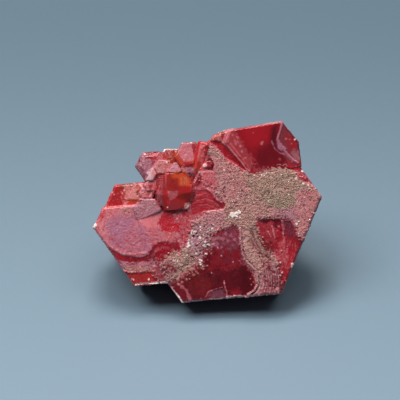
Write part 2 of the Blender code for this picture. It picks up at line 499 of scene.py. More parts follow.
def chance(cells, salt=0):
    """A random number from 0 to 1 for each cell, the same for all points of the cell."""
    mixed = np.sin(cells @ HASH + 4.1 * salt) * HASH_SIZE
    return mixed - np.floor(mixed)


def grains(points, size, salt=0):
    """The middle of the grain that each point is in, and how far it is inside the grain's edge."""
    at = (points / size + 17.3 * salt).tolist()
    found = [noise.voronoi(point) for point in at]
    near = np.array([distances[:2] for distances, middles in found])
    middle = np.array([middles[0][:] for distances, middles in found])
    return middle, near[:, 1] - near[:, 0]


# %% The points of a piece
GRAIN = 0.2
WIDE_WAVE = 1.5
FINE_WAVE = 0.42


class Skin:
    """The points of a piece, in millimetres of the face, and what covers them."""

    def __init__(self, mesh, crystal, start, front):
        count = len(mesh.vertices)
        self.points = np.empty(count * 3)
        mesh.vertices.foreach_get("co", self.points)
        self.points = self.points.reshape(-1, 3)
        self.normals = np.empty(count * 3)
        mesh.vertex_normals.foreach_get("vector", self.normals)
        self.normals = self.normals.reshape(-1, 3)
        # The points in the crystal's own frame, and how far inside its side faces they are
        turned = np.array(crystal_place(crystal).inverted())
        self.own = self.points @ turned[:3, :3].T + turned[:3, 3]
        self.inset = np.min(
            [d - self.own[:, :2] @ np.array(n[:2]) for n, d in side_directions(crystal)], 0
        )
        # The grain that each point is in, its shade, and how far noise moves a layer's edge
        self.middle, self.inside = grains(self.points, GRAIN)
        self.level = chance(self.middle, 1)
        self.wobble = 0.7 * rough(self.points, WIDE_WAVE, 1, 3)
        self.wobble += 0.7 * rough(self.points, FINE_WAVE, 9, 2)
        self.wobble += 1.3 * (chance(self.middle, 9) - 0.5)
        # Layers lie only on what faces the viewer
        self.front = smooth(*front, self.normals[:, 2])
        for channel in CHANNELS:
            setattr(self, channel, np.full(count, float(start.get(channel, 0))))

    def cover(self, mask, **finish):
        """Brings each named channel to its new value as far as the mask goes."""
        for channel, value in finish.items():
            now = getattr(self, channel)
            setattr(self, channel, now + (value - now) * mask)


# %% [markdown]
# ## Layers
#
# Each thing that can be seen on the face is one layer: an area with an outline, a line such as
# a vein or a ridge, or some dots. Its places are in millimetres across and up the face. A
# layer fades over `soft` millimetres at its edge, and `ragged` is how far noise moves the edge
# in and out. The rest says what it brings the numbers to. Later layers lie on earlier ones.

# %% Areas, lines and dots
def distance_to(line, x, y):
    """How far each point is from a line through some points."""
    nearest = np.full(len(x), 1e9)
    for (ax, ay), (bx, by) in zip(line, line[1:]):
        dx = bx - ax
        dy = by - ay
        along = np.clip(((x - ax) * dx + (y - ay) * dy) / (dx * dx + dy * dy), 0, 1)
        nearest = np.minimum(nearest, np.hypot(x - ax - along * dx, y - ay - along * dy))
    return nearest


def is_inside(outline, x, y):
    """Whether each point lies inside a closed outline, by counting the edges that a ray crosses."""
    inside = np.zeros(len(x), bool)
    for (ax, ay), (bx, by) in zip(outline, outline[1:] + outline[:1]):
        if ay != by:
            crossing = ax + (y - ay) * (bx - ax) / (by - ay)
            inside ^= ((ay > y) != (by > y)) & (x < crossing)
    return inside


@dataclass
class Layer:
    """An area, a line or a set of dots of the face, and what it brings the channels to."""

    name: str
    kind: str
    points: list
    size: float  # the width of a line or dot
    soft: float
    ragged: float
    share: float  # how much of it takes hold
    finish: dict

    def paint(self, skin):
        x, y = skin.points[:, 0], skin.points[:, 1]
        (left, bottom), (right, top) = np.min(self.points, 0), np.max(self.points, 0)
        room = self.size + self.soft + self.ragged
        near = (x > left - room) & (x < right + room) & (y > bottom - room) & (y < top + room)
        near &= skin.front > 0
        if not near.any():
            return
        x, y = x[near], y[near]
        if self.kind == "area":
            sign = np.where(is_inside(self.points, x, y), 1, -1)
            depth = sign * distance_to(self.points + self.points[:1], x, y)
        elif self.kind == "line":
            depth = self.size / 2 - distance_to(self.points, x, y)
        else:
            away = [np.hypot(x - dot_x, y - dot_y) for dot_x, dot_y in self.points]
            depth = self.size / 2 - np.min(away, 0)
        depth += self.ragged * skin.wobble[near]
        mask = np.zeros(len(near))
        mask[near] = smooth(-self.soft / 2, self.soft / 2, depth) * self.share
        skin.cover(mask * skin.front, **self.finish)


LAYERS = []


def area(name, *points, soft=0.4, ragged=0.1, share=1, **finish):
    """Adds an area inside an outline."""
    LAYERS.append(Layer(name, "area", list(points), 0, soft, ragged, share, finish))


def line(name, *points, width=0.12, soft=0.12, ragged=0.05, share=1, **finish):
    """Adds a line through some points."""
    LAYERS.append(Layer(name, "line", list(points), width, soft, ragged, share, finish))


def dots(name, *points, size=0.2, soft=0.1, ragged=0.06, share=1, **finish):
    """Adds dots of one size."""
    LAYERS.append(Layer(name, "dots", list(points), size, soft, ragged, share, finish))

# %% [markdown]
# ## The wide plate
#
# Most of this plate is under a crust of tan and dusty pink grains. The clear red shows through
# it in a dark window at the bottom, a smaller one at the right, and a triangle at the left.

# %% Scattered places
def scatter(outline, count, seed):
    """Random places inside an outline."""
    random = np.random.default_rng(seed)
    low, high = np.min(outline, 0), np.max(outline, 0)
    places = random.uniform(low, high, (count * 4, 2))
    inside = is_inside(outline, places[:, 0], places[:, 1])
    return places[inside][:count].tolist()


# %% The crust of the wide plate
area("crust", (0.3, 7.8), (1.9, 6.2), (3.0, 5.2), (4.6, 4.5), (5.6, 4.0), (6.5, 4.4), (7.7, 4.6),
     (9.0, 4.8), (10.8, 3.7), (13.2, 2.0), (11.4, -2.0), (10.8, -3.7), (10.3, -3.1), (10.0, -1.9),
     (9.5, -1.0), (8.5, -0.7), (5.8, -0.8), (5.7, -1.5), (6.3, -3.1), (7.4, -4.4), (8.4, -5.5),
     (8.7, -6.9), (8.6, -9.2), (5.4, -9.7), (5.6, -7.9), (5.2, -6.6), (4.2, -5.5), (4.0, -3.6),
     (3.9, -2.0), (3.1, -1.5), (1.9, -2.1), (0.6, -3.1), (-1.0, -5.0), (-3.0, -6.2), (-3.5, -7.5),
     (-4.1, -8.1), (-5.2, -6.4), (-5.0, -5.5), (-4.1, -4.8), (-3.0, -4.6), (-2.1, -3.6),
     (-1.6, -2.6), (-1.3, -1.5), (-0.7, -0.8), (0.2, -0.1), (1.5, 0.4), (2.1, 1.0), (1.1, 2.2),
     (0.1, 3.1), (-0.8, 3.5), (-0.4, 4.6), (0.0, 5.7), (-0.1, 7.2),
     soft=0.5, ragged=0.35, milky=1, lilac=0.45, crust=0.85, olive=0.3, rise=0.1)
area("grey-tan crust", (5.6, 3.9), (7.4, 4.5), (9.3, 4.7), (10.8, 3.4), (10.7, 1.8), (8.7, 1.3),
     (6.3, 1.3), (4.7, 2.2),
     soft=0.8, ragged=0.4, crust=1, olive=0.65, tone=0.76)
area("olive crust", (6.7, 1.6), (9.6, 1.8), (9.7, 0.4), (6.9, 0.2),
     soft=0.9, ragged=0.3, crust=1, olive=1, tone=0.6)
area("pinkish crust", (4.5, 0.9), (7.6, 0.4), (7.8, -0.6), (5.0, -0.7),
     soft=0.6, ragged=0.3, crust=0.75, olive=0.1)
area("mauve crust", (7.5, 0.1), (10.2, 0.7), (10.6, -1.1), (9.6, -1.0), (8.2, -0.7),
     soft=0.6, ragged=0.2, dark=0.4, lilac=0.75, crust=0.4)
area("dusty pink margin", (10.0, 2.6), (12.7, 2.2), (12.2, 0.3), (11.4, -1.8), (10.8, -3.5),
     (10.2, -2.2), (10.0, -0.3),
     soft=0.6, ragged=0.25, lilac=0.35, crust=0.45)
area("mauve-pink crust in the middle", (0.2, 7.0), (1.9, 5.9), (4.0, 4.3), (5.0, 2.4), (3.6, 0.7),
     (2.1, 1.3), (0.1, 3.1), (-0.3, 4.6),
     soft=1.0, ragged=0.4, lilac=0.35, crust=0.5)
area("smooth pink-red patch", (-0.2, 4.5), (0.9, 4.6), (1.3, 2.9), (0.8, 2.4), (-0.7, 3.2),
     ragged=0.2, dark=0.1, milky=0.7, lilac=0.1, crust=0.05)
area("dull pink-red lump", (-0.2, 6.4), (0.6, 6.3), (0.9, 5.4), (0.8, 4.6), (-0.2, 4.5),
     soft=0.3, ragged=0.15, dark=0.3, milky=0.6, lilac=0.2, crust=0.1, rise=0.04)
# Painted shade: a dark crescent on the right of the lump, where it shades the plate
line("hollow beside the lump", (0.4, 5.7), (0.9, 5.2), (0.8, 4.6),
     width=0.25, dark=0.8, milky=0.1, crust=0, rise=0.05)
area("dark red strip under the rim", (10.1, 4.5), (11.7, 3.4), (11.8, 3.1), (10.2, 3.6),
     soft=0.2, dark=0.5, milky=0.25, crust=0.15)
area("mauve-pink grains under the triangle", (-1.1, -0.1), (0.8, 0.1), (2.2, 0.1), (2.3, -2.2),
     (0.0, -2.9), (-1.3, -1.8),
     soft=0.6, ragged=0.3, lilac=0.5, crust=0.45)

# %% The glittering band and the tan corner at the lower left
area("greyish mauve band", (-1.3, -1.5), (0.2, -1.1), (1.0, -2.4), (0.1, -3.7), (0.1, -5.7),
     (-1.2, -5.9), (-2.3, -4.2),
     soft=0.7, ragged=0.35, milky=0.9, lilac=0.9, crust=0.55, olive=0.3)
area("fine tan grains", (-3.4, -4.7), (-1.6, -4.1), (-0.3, -5.1), (-0.7, -6.4), (-2.3, -7.3),
     (-4.3, -8.1), (-4.8, -6.6),
     soft=1.3, ragged=0.8, crust=0.95, olive=0.5, tone=0.6)
area("mauve-brown end", (-5.1, -5.2), (-3.4, -5.1), (-3.1, -6.2), (-3.6, -7.6), (-4.7, -7.2),
     soft=0.8, ragged=0.4, dark=0.6, milky=0.5, lilac=0.5, crust=0.35, olive=0.6, tone=0.4)
area("brown-orange edge of the window", (-2.3, -6.6), (-0.3, -5.7), (0.1, -7.0), (-1.6, -8.2),
     (-3.0, -7.7),
     soft=1.1, ragged=0.7, dark=0.7, orange=0.4, milky=0.15, crust=0.3, olive=0.8, rise=0.03)

GLITTER_BAND = [(-1.9, -2.2), (-0.6, -1.3), (0.9, -1.6), (0.9, -3.2), (0.0, -4.2), (0.1, -5.6),
                (-1.1, -5.8), (-2.2, -4.2)]
dots("lilac crystals of the band", *scatter(GLITTER_BAND, 26, 11),
     size=0.34, ragged=0.12, share=0.8, milky=1, lilac=0.9, crust=0.1, pale=0.15, rise=0.12)
dots("dark purple pits of the band", *scatter(GLITTER_BAND, 34, 12),
     ragged=0.14, share=0.85, dark=0.95, milky=0.1, lilac=1, crust=0.1, grime=0.35, rise=-0.02)
dots("white chips of the band", *scatter(GLITTER_BAND, 17, 13),
     size=0.24, ragged=0.12, share=0.95, milky=1, crust=0, pale=0.95, rise=0.14)

# %% The dark window
area("dark window", (-0.2, -4.1), (0.8, -2.9), (1.9, -2.1), (3.1, -1.5), (3.9, -2.0), (4.2, -5.5),
     (5.2, -6.6), (5.6, -7.9), (5.4, -9.5), (-2.5, -10.1), (-3.9, -7.9), (-2.8, -7.4), (-2.1, -6.6),
     (-0.6, -5.7),
     soft=0.5, ragged=0.4, dark=0.72, milky=0.05, lilac=0.4, crust=0, olive=0, mottle=0.4, rise=0)
area("crimson part of the window", (0.8, -3.5), (4.0, -3.4), (4.3, -5.5), (3.4, -6.4), (0.3, -6.2),
     soft=1.2, ragged=0.5, dark=0.52, milky=0.12, lilac=0.6)
area("deepest red", (3.9, -6.2), (5.3, -6.6), (5.6, -8.6), (3.9, -8.8),
     soft=0.8, ragged=0.2, dark=0.78, milky=0, lilac=0.2)
area("brownish dark part", (-2.3, -7.9), (0.1, -6.6), (1.0, -7.9), (0.1, -9.2), (-1.6, -9.5),
     soft=1.0, ragged=0.5, dark=0.68, orange=0.15, milky=0.1)
area("frosted tip of the window", (1.9, -2.2), (3.6, -1.6), (4.0, -3.5), (2.5, -3.9), (1.2, -3.7),
     (0.6, -4.0),
     soft=1.3, ragged=0.5, dark=0.58, milky=0.33, lilac=0.7, mottle=0.6)
line("red streak at the tip", (0.7, -2.6), (1.2, -2.3), (1.9, -2.2),
     width=0.3, share=0.8, dark=0.15, milky=0.1)
line("pink streaks at the tip", (0.3, -3.6), (0.9, -3.0), (1.5, -2.8), (2.0, -2.9),
     width=0.3, ragged=0.15, share=0.8, milky=0.75, lilac=0.4)
line("pink streak below them", (0.2, -4.3), (0.9, -3.7), (1.4, -3.4),
     width=0.25, ragged=0.15, share=0.7, milky=0.7, lilac=0.5)
dots("pink specks of the tip", (2.3, -2.4), (2.8, -2.6), (2.5, -3.2), (3.2, -3.0), (1.8, -3.9),
     size=0.25, ragged=0.1, share=0.8, milky=0.7, pale=0.2)
area("mauve corner of the window", (0.1, -9.3), (0.6, -8.8), (1.2, -8.5), (2.0, -8.4), (2.4, -9.5),
     soft=0.25, dark=0.75, milky=0.35, lilac=0.8, rise=-0.04)
line("pale line round the mauve corner", (0.1, -9.3), (0.4, -8.8), (1.1, -8.5), (1.9, -8.3),
     share=0.75, dark=0.2, milky=0.8, lilac=0.5, rise=0.05)
line("upright vein", (2.1, -7.6), (2.2, -8.2), (2.4, -8.8), (2.4, -9.5),
     share=0.8, dark=0.2, milky=0.8, lilac=0.5, pale=0.2, rise=0.06)
area("bright red spot", (2.9, -8.7), (3.6, -8.4), (4.0, -8.8), (3.6, -9.3), (2.9, -9.3),
     soft=0.6, ragged=0.2, share=0.6, dark=0.25, milky=0.1)
area("dark red corner", (-3.6, -7.9), (-2.5, -8.0), (-1.6, -9.6), (-2.5, -10.1),
     ragged=0.22, dark=0.62, milky=0.1)
line("mauve-pink streak in the corner", (-2.8, -8.0), (-2.1, -8.6), (-1.6, -9.6),
     width=0.3, ragged=0.1, share=0.75, dark=0.4, milky=0.7, lilac=0.45, rise=0.04)
line("beads along the bottom edge", (-2.5, -10.0), (0.1, -9.7), (3.3, -9.3), (6.3, -9.1),
     width=0.2, ragged=0.12, share=0.8, milky=1, lilac=0.3, crust=0, pale=0.7)
line("pale lower left edge", (-4.3, -7.8), (-3.4, -8.8), (-2.5, -10.0),
     width=0.24, dark=0, milky=1, lilac=0.3, pale=0.9, tone=1)
dots("specks in the window", (2.1, -7.8), (0.7, -6.7), (-2.0, -7.4), (1.8, -4.8), (5.0, -7.3),
     (5.3, -7.7), (5.1, -8.0), (1.4, -3.9), (3.1, -5.5),
     size=0.18, share=0.8, milky=0.9, pale=0.5)

WINDOW_BORDER = [(-4.3, -6.2), (-2.4, -5.0), (-0.6, -4.4), (0.2, -2.9), (0.9, -3.4), (0.5, -5.6),
                 (-0.8, -7.0), (-2.6, -7.9), (-3.8, -7.8)]
dots("grains that spread into the window", *scatter(WINDOW_BORDER, 110, 21),
     size=0.24, soft=0.2, ragged=0.16, share=0.75, dark=0.5, milky=0.6, crust=0.8, olive=0.7,
     grain=-0.4)
dots("brown gaps beside the window", *scatter(WINDOW_BORDER, 60, 22),
     size=0.3, soft=0.25, ragged=0.2, share=0.6, dark=0.7, orange=0.3, milky=0.1, crust=0.05,
     grain=-0.6)
dots("pale grains beside the window", *scatter(WINDOW_BORDER, 22, 23),
     size=0.16, ragged=0.08, share=0.8, milky=1, pale=0.6)

# %% The crust between the windows
area("smooth strip between the windows", (3.9, -1.5), (5.8, -1.5), (6.4, -3.1), (5.8, -5.5),
     (6.4, -8.6), (5.5, -9.5), (5.7, -7.9), (5.3, -6.5), (4.3, -5.4), (4.1, -3.6),
     soft=0.5, ragged=0.2, milky=1, lilac=0.6, crust=0.7, olive=0.3, grain=-0.7)
line("ridge of the strip", (3.9, -1.8), (3.9, -3.1), (4.1, -4.4), (4.4, -5.3), (5.0, -5.9),
     (5.5, -6.4), (5.8, -7.2), (5.8, -8.0), (5.3, -8.7), (4.5, -9.3),
     width=0.22, ragged=0.08, milky=1, lilac=0.5, crust=0.5, pale=0.15, rise=0.24)
line("groove beside the ridge", (4.2, -4.2), (4.6, -5.2), (5.2, -5.8), (5.8, -6.4), (6.0, -7.2),
     (6.0, -8.0), (5.6, -8.7),
     width=0.14, ragged=0.06, share=0.85, dark=0.8, milky=0.4, crust=0.3, grime=0.35, rise=0.04)
for step in range(4):
    line("pale strand", (5.95 + 0.33 * step, -6.6), (6.2 + 0.33 * step, -7.8),
         (5.9 + 0.36 * step, -8.7), (5.2 + 0.4 * step, -9.3),
         width=0.18, ragged=0.08, share=0.7, milky=1, lilac=0.6, crust=0.35, pale=0.2,
         rise=0.2 - 0.04 * step)
area("mauve-brown streaks", (6.4, -5.5), (8.2, -5.5), (8.7, -7.0), (8.2, -8.8), (6.3, -9.1),
     soft=0.9, ragged=0.5, dark=0.7, milky=0.4, lilac=0.5, crust=0.3, olive=0.5, grain=-0.7)
area("brown-red lower corner", (6.9, -7.5), (8.7, -7.3), (8.7, -8.9), (6.9, -9.0),
     soft=0.8, ragged=0.5, dark=0.75, milky=0.2, crust=0.2, olive=0.7)
area("olive-brown strands", (4.7, -1.8), (5.7, -1.5), (6.4, -3.1), (7.5, -4.5), (7.4, -5.3),
     (5.8, -5.1), (4.8, -3.7),
     soft=0.5, ragged=0.3, dark=0.6, milky=0.4, crust=0.55, olive=0.9, grain=-0.6)
line("long strand", (5.1, -1.9), (5.4, -3.1), (6.2, -4.3), (7.2, -5.3),
     width=0.16, ragged=0.1, share=0.7, dark=0.8, milky=0.2, crust=0.3, olive=0.8, rise=0.05)
line("second long strand", (5.6, -1.8), (5.9, -2.9), (6.7, -4.1), (7.6, -5.0),
     width=0.16, ragged=0.1, share=0.7, dark=0.85, milky=0.2, crust=0.3, olive=0.6, rise=0.04)

for step in range(7):
    line("strand that runs down to the edge", (4.95 + 0.3 * step, -2.6 - 0.45 * step),
         (5.5 + 0.34 * step, -4.4 - 0.3 * step), (6.35 + 0.28 * step, -6.2 - 0.1 * step),
         (6.6 + 0.25 * step, -7.6), (6.2 + 0.3 * step, -9.0),
         ragged=0.1, share=0.7, dark=0.3 + 0.4 * (step % 2), milky=0.8, lilac=0.4, crust=0.35,
         pale=0.15 * (step % 2), grain=-0.8, rise=0.18 - 0.02 * step)
for step in range(6):
    line("dark furrow between the strands", (5.1 + 0.3 * step, -3.0 - 0.45 * step),
         (5.7 + 0.34 * step, -4.8 - 0.3 * step), (6.5 + 0.28 * step, -6.4 - 0.1 * step),
         (6.7 + 0.27 * step, -8.2),
         width=0.1, ragged=0.12, share=0.65, dark=0.8, orange=0.2, milky=0.2, crust=0.1, grain=-0.8,
         rise=0)

# %% The red window at the right
area("right window", (5.8, -0.9), (8.2, -0.8), (9.5, -1.1), (10.3, -3.1), (11.0, -3.4), (9.7, -6.2),
     (8.9, -7.9), (8.4, -6.4), (8.2, -5.1), (7.4, -4.4), (6.3, -2.9),
     soft=0.5, ragged=0.35, dark=0.4, milky=0.1, lilac=0.3, crust=0, olive=0, mottle=0.6,
     rise=-0.05)
area("shaded top of the window", (5.9, -0.8), (8.2, -0.7), (9.5, -1.0), (9.2, -1.4), (6.3, -1.4),
     ragged=0.2, dark=0.72, milky=0.05, grime=0.05)
area("bright pinkish red", (6.2, -1.3), (7.5, -1.3), (8.1, -2.6), (7.6, -3.7), (6.7, -3.2),
     soft=0.6, ragged=0.3, dark=0.38, milky=0.28, lilac=0.2, rise=-0.02)
area("brown-maroon hollow", (6.3, -2.9), (7.2, -3.1), (7.7, -4.4), (7.2, -5.1), (6.4, -4.2),
     soft=0.7, ragged=0.35, dark=0.78, orange=0.2, milky=0.12, crust=0.12, olive=0.8, grain=-0.5)
area("dark purple lobe", (8.7, -1.1), (9.5, -1.1), (10.2, -2.8), (9.5, -3.0), (8.8, -2.3),
     ragged=0.15, dark=0.7, milky=0.22, lilac=0.8)
area("bright red strip", (8.7, -4.0), (10.6, -3.5), (9.6, -6.2), (8.7, -8.6), (8.4, -6.6),
     soft=0.6, ragged=0.3, dark=0.28, milky=0.12, lilac=0.25, rise=-0.08)
area("pink-red streaks", (7.9, -3.1), (8.8, -2.9), (9.1, -5.5), (8.1, -5.5),
     soft=0.5, ragged=0.3, dark=0.3, milky=0.5, lilac=0.2, crust=0.1, tone=0.45)
line("mauve ridge", (8.5, -1.0), (8.6, -1.6), (8.6, -2.4),
     width=0.25, share=0.85, dark=0.5, milky=0.7, lilac=0.8, rise=0.03)
line("pale streak", (8.6, -2.4), (8.7, -2.9), (8.7, -3.4),
     width=0.14, milky=0.8, lilac=0.3, pale=0.3, rise=0)
for top, bottom in (((6.9, -2.1), (7.3, -2.8)), ((7.4, -1.6), (7.7, -2.9))):
    line("vein of the window", top, bottom, width=0.13, milky=0.8, lilac=0.1, rise=0.02)
for step in range(5):
    line("streak of the strip", (8.8 + 0.28 * step, -3.2), (8.75 + 0.3 * step, -4.6),
         (8.3 + 0.26 * step, -6.2),
         width=0.1, ragged=0.1, share=0.5, milky=0.6, lilac=0.1, rise=-0.04)
dots("dark spots", (7.8, -1.5), (8.4, -2.0), size=0.35, ragged=0.1, share=0.8, dark=0.9, milky=0)
dots("pink dots", (8.1, -1.6), (8.0, -2.0), share=0.9, milky=0.9, lilac=0.2)

# %% The red triangle
area("red triangle", (-1.2, 2.4), (0.4, 2.4), (1.2, 1.5), (2.3, 0.9), (2.0, 0.3), (0.1, 0.1),
     (-0.6, -0.1), (-1.4, -0.4), (-1.6, 0.8),
     soft=0.15, ragged=0.05, dark=0.22, milky=0.2, lilac=0.15, crust=0, olive=0, mottle=0.5,
     rise=-0.04)
area("dark tip of the triangle", (0.9, 1.4), (1.4, 1.4), (2.3, 0.9), (2.0, 0.4), (1.0, 0.4),
     soft=0.5, ragged=0.22, dark=0.5, milky=0.15)
for step in range(7):
    line("streak of the triangle", (-1.45, 2.25 - 0.32 * step),
         (-0.7 + 0.06 * step, 2.2 - 0.27 * step), (0.1 + 0.14 * step, 1.9 - 0.24 * step),
         (0.7 + 0.2 * step, 1.4 - 0.17 * step),
         width=0.1, ragged=0.06, share=0.5, milky=0.65, lilac=0.15)
for step in range(5):
    line("growth line of the triangle", (-1.5, 1.2 - 0.25 * step), (-0.8, 1.75 - 0.28 * step),
         (0.1, 2.0 - 0.31 * step), (0.9, 1.7 - 0.3 * step), (1.5, 1.2 - 0.27 * step),
         width=0.13, soft=0.16, ragged=0.08, share=0.5, dark=0.15 + 0.35 * (step % 2),
         milky=0.45 * (1 - step % 2), lilac=0.3, rise=0.03)
line("pale ridge of the triangle", (0.3, 2.5), (0.9, 2.0), (1.3, 1.4), (1.9, 1.0),
     width=0.16, share=0.9, dark=0.1, milky=0.95, lilac=0.3, crust=0.2, rise=0.1)
line("pale line below the triangle", (-0.3, -0.2), (0.6, 0.1), (2.1, 0.2),
     width=0.14, ragged=0.12, share=0.3, dark=0.1, milky=1, lilac=0.3, crust=0.3)

# %% Pits, chips and glints of the wide plate
dots("pits", (2.9, 3.6), (3.6, 3.1), (2.2, 2.6), (1.2, 2.4), (1.5, 1.6), (2.0, 2.1), (2.2, 1.6),
     (4.2, 1.7), (4.6, 1.9), (5.7, 1.5), (6.3, 1.8), (4.7, 0.9), (5.7, 0.9), (3.5, 0.6), (4.4, 0.3),
     (5.7, 0.2), (2.9, 0.4), (7.8, 3.1), (8.8, 2.6), (6.3, 2.1), (7.0, 2.1), (8.4, 2.2),
     (11.6, 1.2), (10.9, 0.7), (-0.4, -0.4), (0.2, -0.9), (-1.5, -1.9), (-1.0, -1.5), (11.6, -1.2),
     (0.8, -1.5), (-0.2, -4.4),
     size=0.22, ragged=0.14, share=0.75, dark=0.85, crust=0.4, grime=0.45, rise=0)
dots("long pits", (-0.6, -4.0), (-0.5, -4.3), (-0.4, -4.6), (0.3, -3.9), (0.4, -4.1), (-2.6, -4.4),
     (-2.6, -4.6), (4.1, 2.3), (4.3, 2.2), (4.0, 1.7), (4.4, 1.7), (5.3, 0.8),
     size=0.22, ragged=0.08, share=0.85, dark=0.9, lilac=1, grime=0.55, rise=0)
dots("pale grains", (2.6, 4.3), (2.4, 4.3), (1.6, 3.2), (4.6, 2.7), (6.4, 2.8), (5.6, -2.7),
     (6.4, -2.8), (7.6, -5.2), (8.3, -5.6), (8.4, -4.3), (8.5, -6.7), (8.3, -7.0), (8.4, -7.8),
     (8.0, -8.5), (9.9, -5.5), (8.9, -7.6), (7.6, -9.0), (12.4, 1.3), (12.1, 0.3), (12.0, -0.2),
     (10.3, -2.4), (11.1, -1.3), (-0.9, -4.7), (-0.5, -5.8), (0.1, -3.1), (8.6, -2.4),
     size=0.17, ragged=0.08, share=0.8, grime=0, pale=0.6, rise=0.1)
# White specks: partly chips, and partly painted glints where small faces catch the light
dots("large chips", (10.8, 4.4), (10.1, 3.7), (10.8, 3.1), (11.3, 2.9), (11.8, 2.8), (12.0, 2.8),
     (-1.0, -2.1), (-1.8, -3.5), (-1.5, -3.5), (-0.2, -2.5), (0.1, -4.7), (-0.4, -5.4),
     (-3.5, -5.3), (-3.2, -5.3), (9.7, -5.8), (9.7, -6.0), (10.1, -1.3),
     size=0.26, ragged=0.14, share=0.9, milky=1, crust=0, grime=0, pale=0.8, rise=0.1)
dots("white glint", (2.9, -0.3), (3.1, -0.3), (3.4, -0.4), (3.5, -0.1), (3.1, -0.5), (3.7, 0.0),
     size=0.38, ragged=0.12, share=0.95, milky=1, crust=0, pale=1, rise=0.17)
line("dark purple right edge", (12.8, 1.8), (12.2, 0.3), (11.6, -1.3),
     width=0.14, ragged=0.03, share=0.8, dark=0.9, milky=0.3, lilac=1, crust=0)
# Painted highlight: a pale line along the upper left edge of the wide plate, where it catches the
# light
line("pale edge at the upper left", (-0.4, 4.6), (-0.7, 4.2), (-1.2, 3.2), (-1.3, 2.5),
     ragged=0.03, share=0.75, milky=1, crust=0, pale=0.4)

# %% [markdown]
# ## The top plate
#
# The top plate stands a little proud of the wide one, and its left edge is a sharp pale ridge.
# Left of the ridge the wide plate dips in a dark red hollow.

# %% The hollow and the saddle beside the top plate
area("pinkish-orange saddle", (0.1, 7.6), (0.4, 8.6), (2.1, 9.1), (2.2, 7.8), (1.4, 7.7),
     (0.4, 7.7),
     soft=0.2, ragged=0.08, dark=0.3, orange=0.5, milky=0.5, lilac=0, crust=0.15, tone=0.36,
     rise=0.03)
area("hollow beside the ridge", (0.3, 7.8), (1.4, 7.8), (2.1, 7.5), (2.8, 6.9), (3.4, 6.2),
     (4.2, 5.4), (5.0, 4.5), (4.1, 4.7), (3.5, 5.2), (2.9, 5.6), (2.2, 6.0), (1.8, 6.6), (1.3, 7.2),
     soft=0.16, ragged=0.06, dark=0.25, orange=0, milky=0.08, lilac=0.1, crust=0, rise=-0.15)
area("bright end of the hollow", (0.4, 7.8), (1.5, 7.8), (2.1, 7.2), (1.8, 6.8), (1.2, 7.3),
     soft=0.5, ragged=0.22, dark=0.1, milky=0.1)

# %% The face of the top plate
area("top plate", (1.6, 9.6), (8.8, 10.3), (10.4, 6.8), (11.0, 4.8), (9.3, 4.8), (8.5, 4.7),
     (7.2, 4.3), (6.3, 4.3), (4.8, 4.5), (1.9, 7.7),
     soft=0.05, ragged=0, dark=0.42, milky=0.06, lilac=0.3, crust=0, olive=0, rise=0)
# Painted glow: the top plate is brighter red near its thin top edge, where light seeps in
area("bright red gradient", (3.9, 9.9), (7.4, 9.9), (7.2, 8.1), (5.6, 7.0), (4.2, 7.7),
     soft=2.2, ragged=0.2, dark=0.14, orange=0.02, milky=0)
area("dark maroon of the top plate", (5.6, 6.8), (7.4, 7.7), (8.5, 7.0), (9.3, 5.9), (9.1, 4.8),
     (6.3, 4.4), (5.2, 5.1),
     soft=1.4, ragged=0.25, dark=0.6, milky=0.05)
area("dark purple shade", (7.2, 9.2), (7.9, 9.5), (8.0, 6.8), (7.2, 7.3),
     soft=0.8, dark=0.75, milky=0.1, lilac=0.7)
area("specked crimson band", (2.2, 8.8), (3.4, 9.2), (4.3, 7.4), (5.2, 5.7), (5.8, 4.2), (4.7, 4.6),
     (3.4, 6.2), (2.3, 7.4),
     soft=0.5, ragged=0.35, dark=0.32, milky=0.33, lilac=0.2)
area("pale pink corner", (1.8, 7.6), (2.4, 9.0), (3.0, 9.2), (2.6, 8.2), (2.3, 7.5),
     soft=0.25, ragged=0.05, dark=0, orange=0.15, milky=0.85, lilac=0.1)
line("sharp ridge", (2.0, 7.6), (2.5, 7.2), (3.2, 6.4), (3.9, 5.6), (4.5, 4.8), (4.9, 4.5),
     width=0.16, ragged=0.02, dark=0, milky=1, lilac=0.1, pale=0.35, rise=0.05)
line("second ridge", (2.8, 7.5), (3.4, 6.7), (4.2, 5.7), (5.0, 4.6),
     width=0.14, share=0.6, dark=0.1, milky=0.7, lilac=0.1, rise=0.04)
dots("pink specks of the band", (3.6, 8.2), (3.2, 7.9), (3.9, 7.2), (2.5, 7.8), (3.4, 7.5),
     (4.1, 6.6), (3.0, 8.5), (4.4, 5.9), (3.7, 7.7),
     size=0.22, ragged=0.1, share=0.75, milky=0.9, lilac=0.2, rise=0.02)
dots("pink blob", (6.3, 7.7), (6.2, 7.5), size=0.3, share=0.85, milky=0.8, lilac=0.25)
dots("small blob", (8.2, 5.8), (5.3, 8.7), share=0.7, milky=0.6)
line("first flow line", (5.0, 5.7), (5.3, 5.0), (5.8, 4.4), (6.4, 4.1),
     ragged=0.04, share=0.7, milky=0.6, lilac=0.3, rise=0.02)
line("second flow line", (5.7, 5.5), (6.0, 4.8), (6.6, 4.5),
     width=0.1, ragged=0.04, share=0.6, milky=0.5, rise=0.02)
area("mottled lower edge", (4.8, 5.0), (6.3, 4.8), (7.4, 4.7), (7.2, 4.3), (6.3, 4.1), (5.2, 4.2),
     ragged=0.4, dark=0.5, milky=0.35, lilac=0.3)
line("crust over the lower edge", (5.1, 4.0), (5.8, 4.1), (6.9, 4.2), (8.0, 4.5), (9.3, 4.6),
     (10.4, 4.6),
     width=0.45, soft=0.4, ragged=0.45, dark=0.4, milky=1, lilac=0.3, crust=0.9, olive=0.5)
area("mottled right corner", (8.4, 9.9), (10.0, 7.8), (10.8, 4.8), (9.3, 5.0), (8.5, 6.6),
     (7.8, 7.3), (8.1, 8.6),
     soft=0.3, ragged=0.15, dark=0.6, milky=0.3, lilac=0.3, crust=0.12, tone=0.4, rise=-0.04)
area("red top of the corner", (8.8, 8.6), (9.9, 7.9), (10.1, 6.8), (9.2, 6.8),
     soft=0.5, ragged=0.25, dark=0.25, milky=0.15, crust=0)
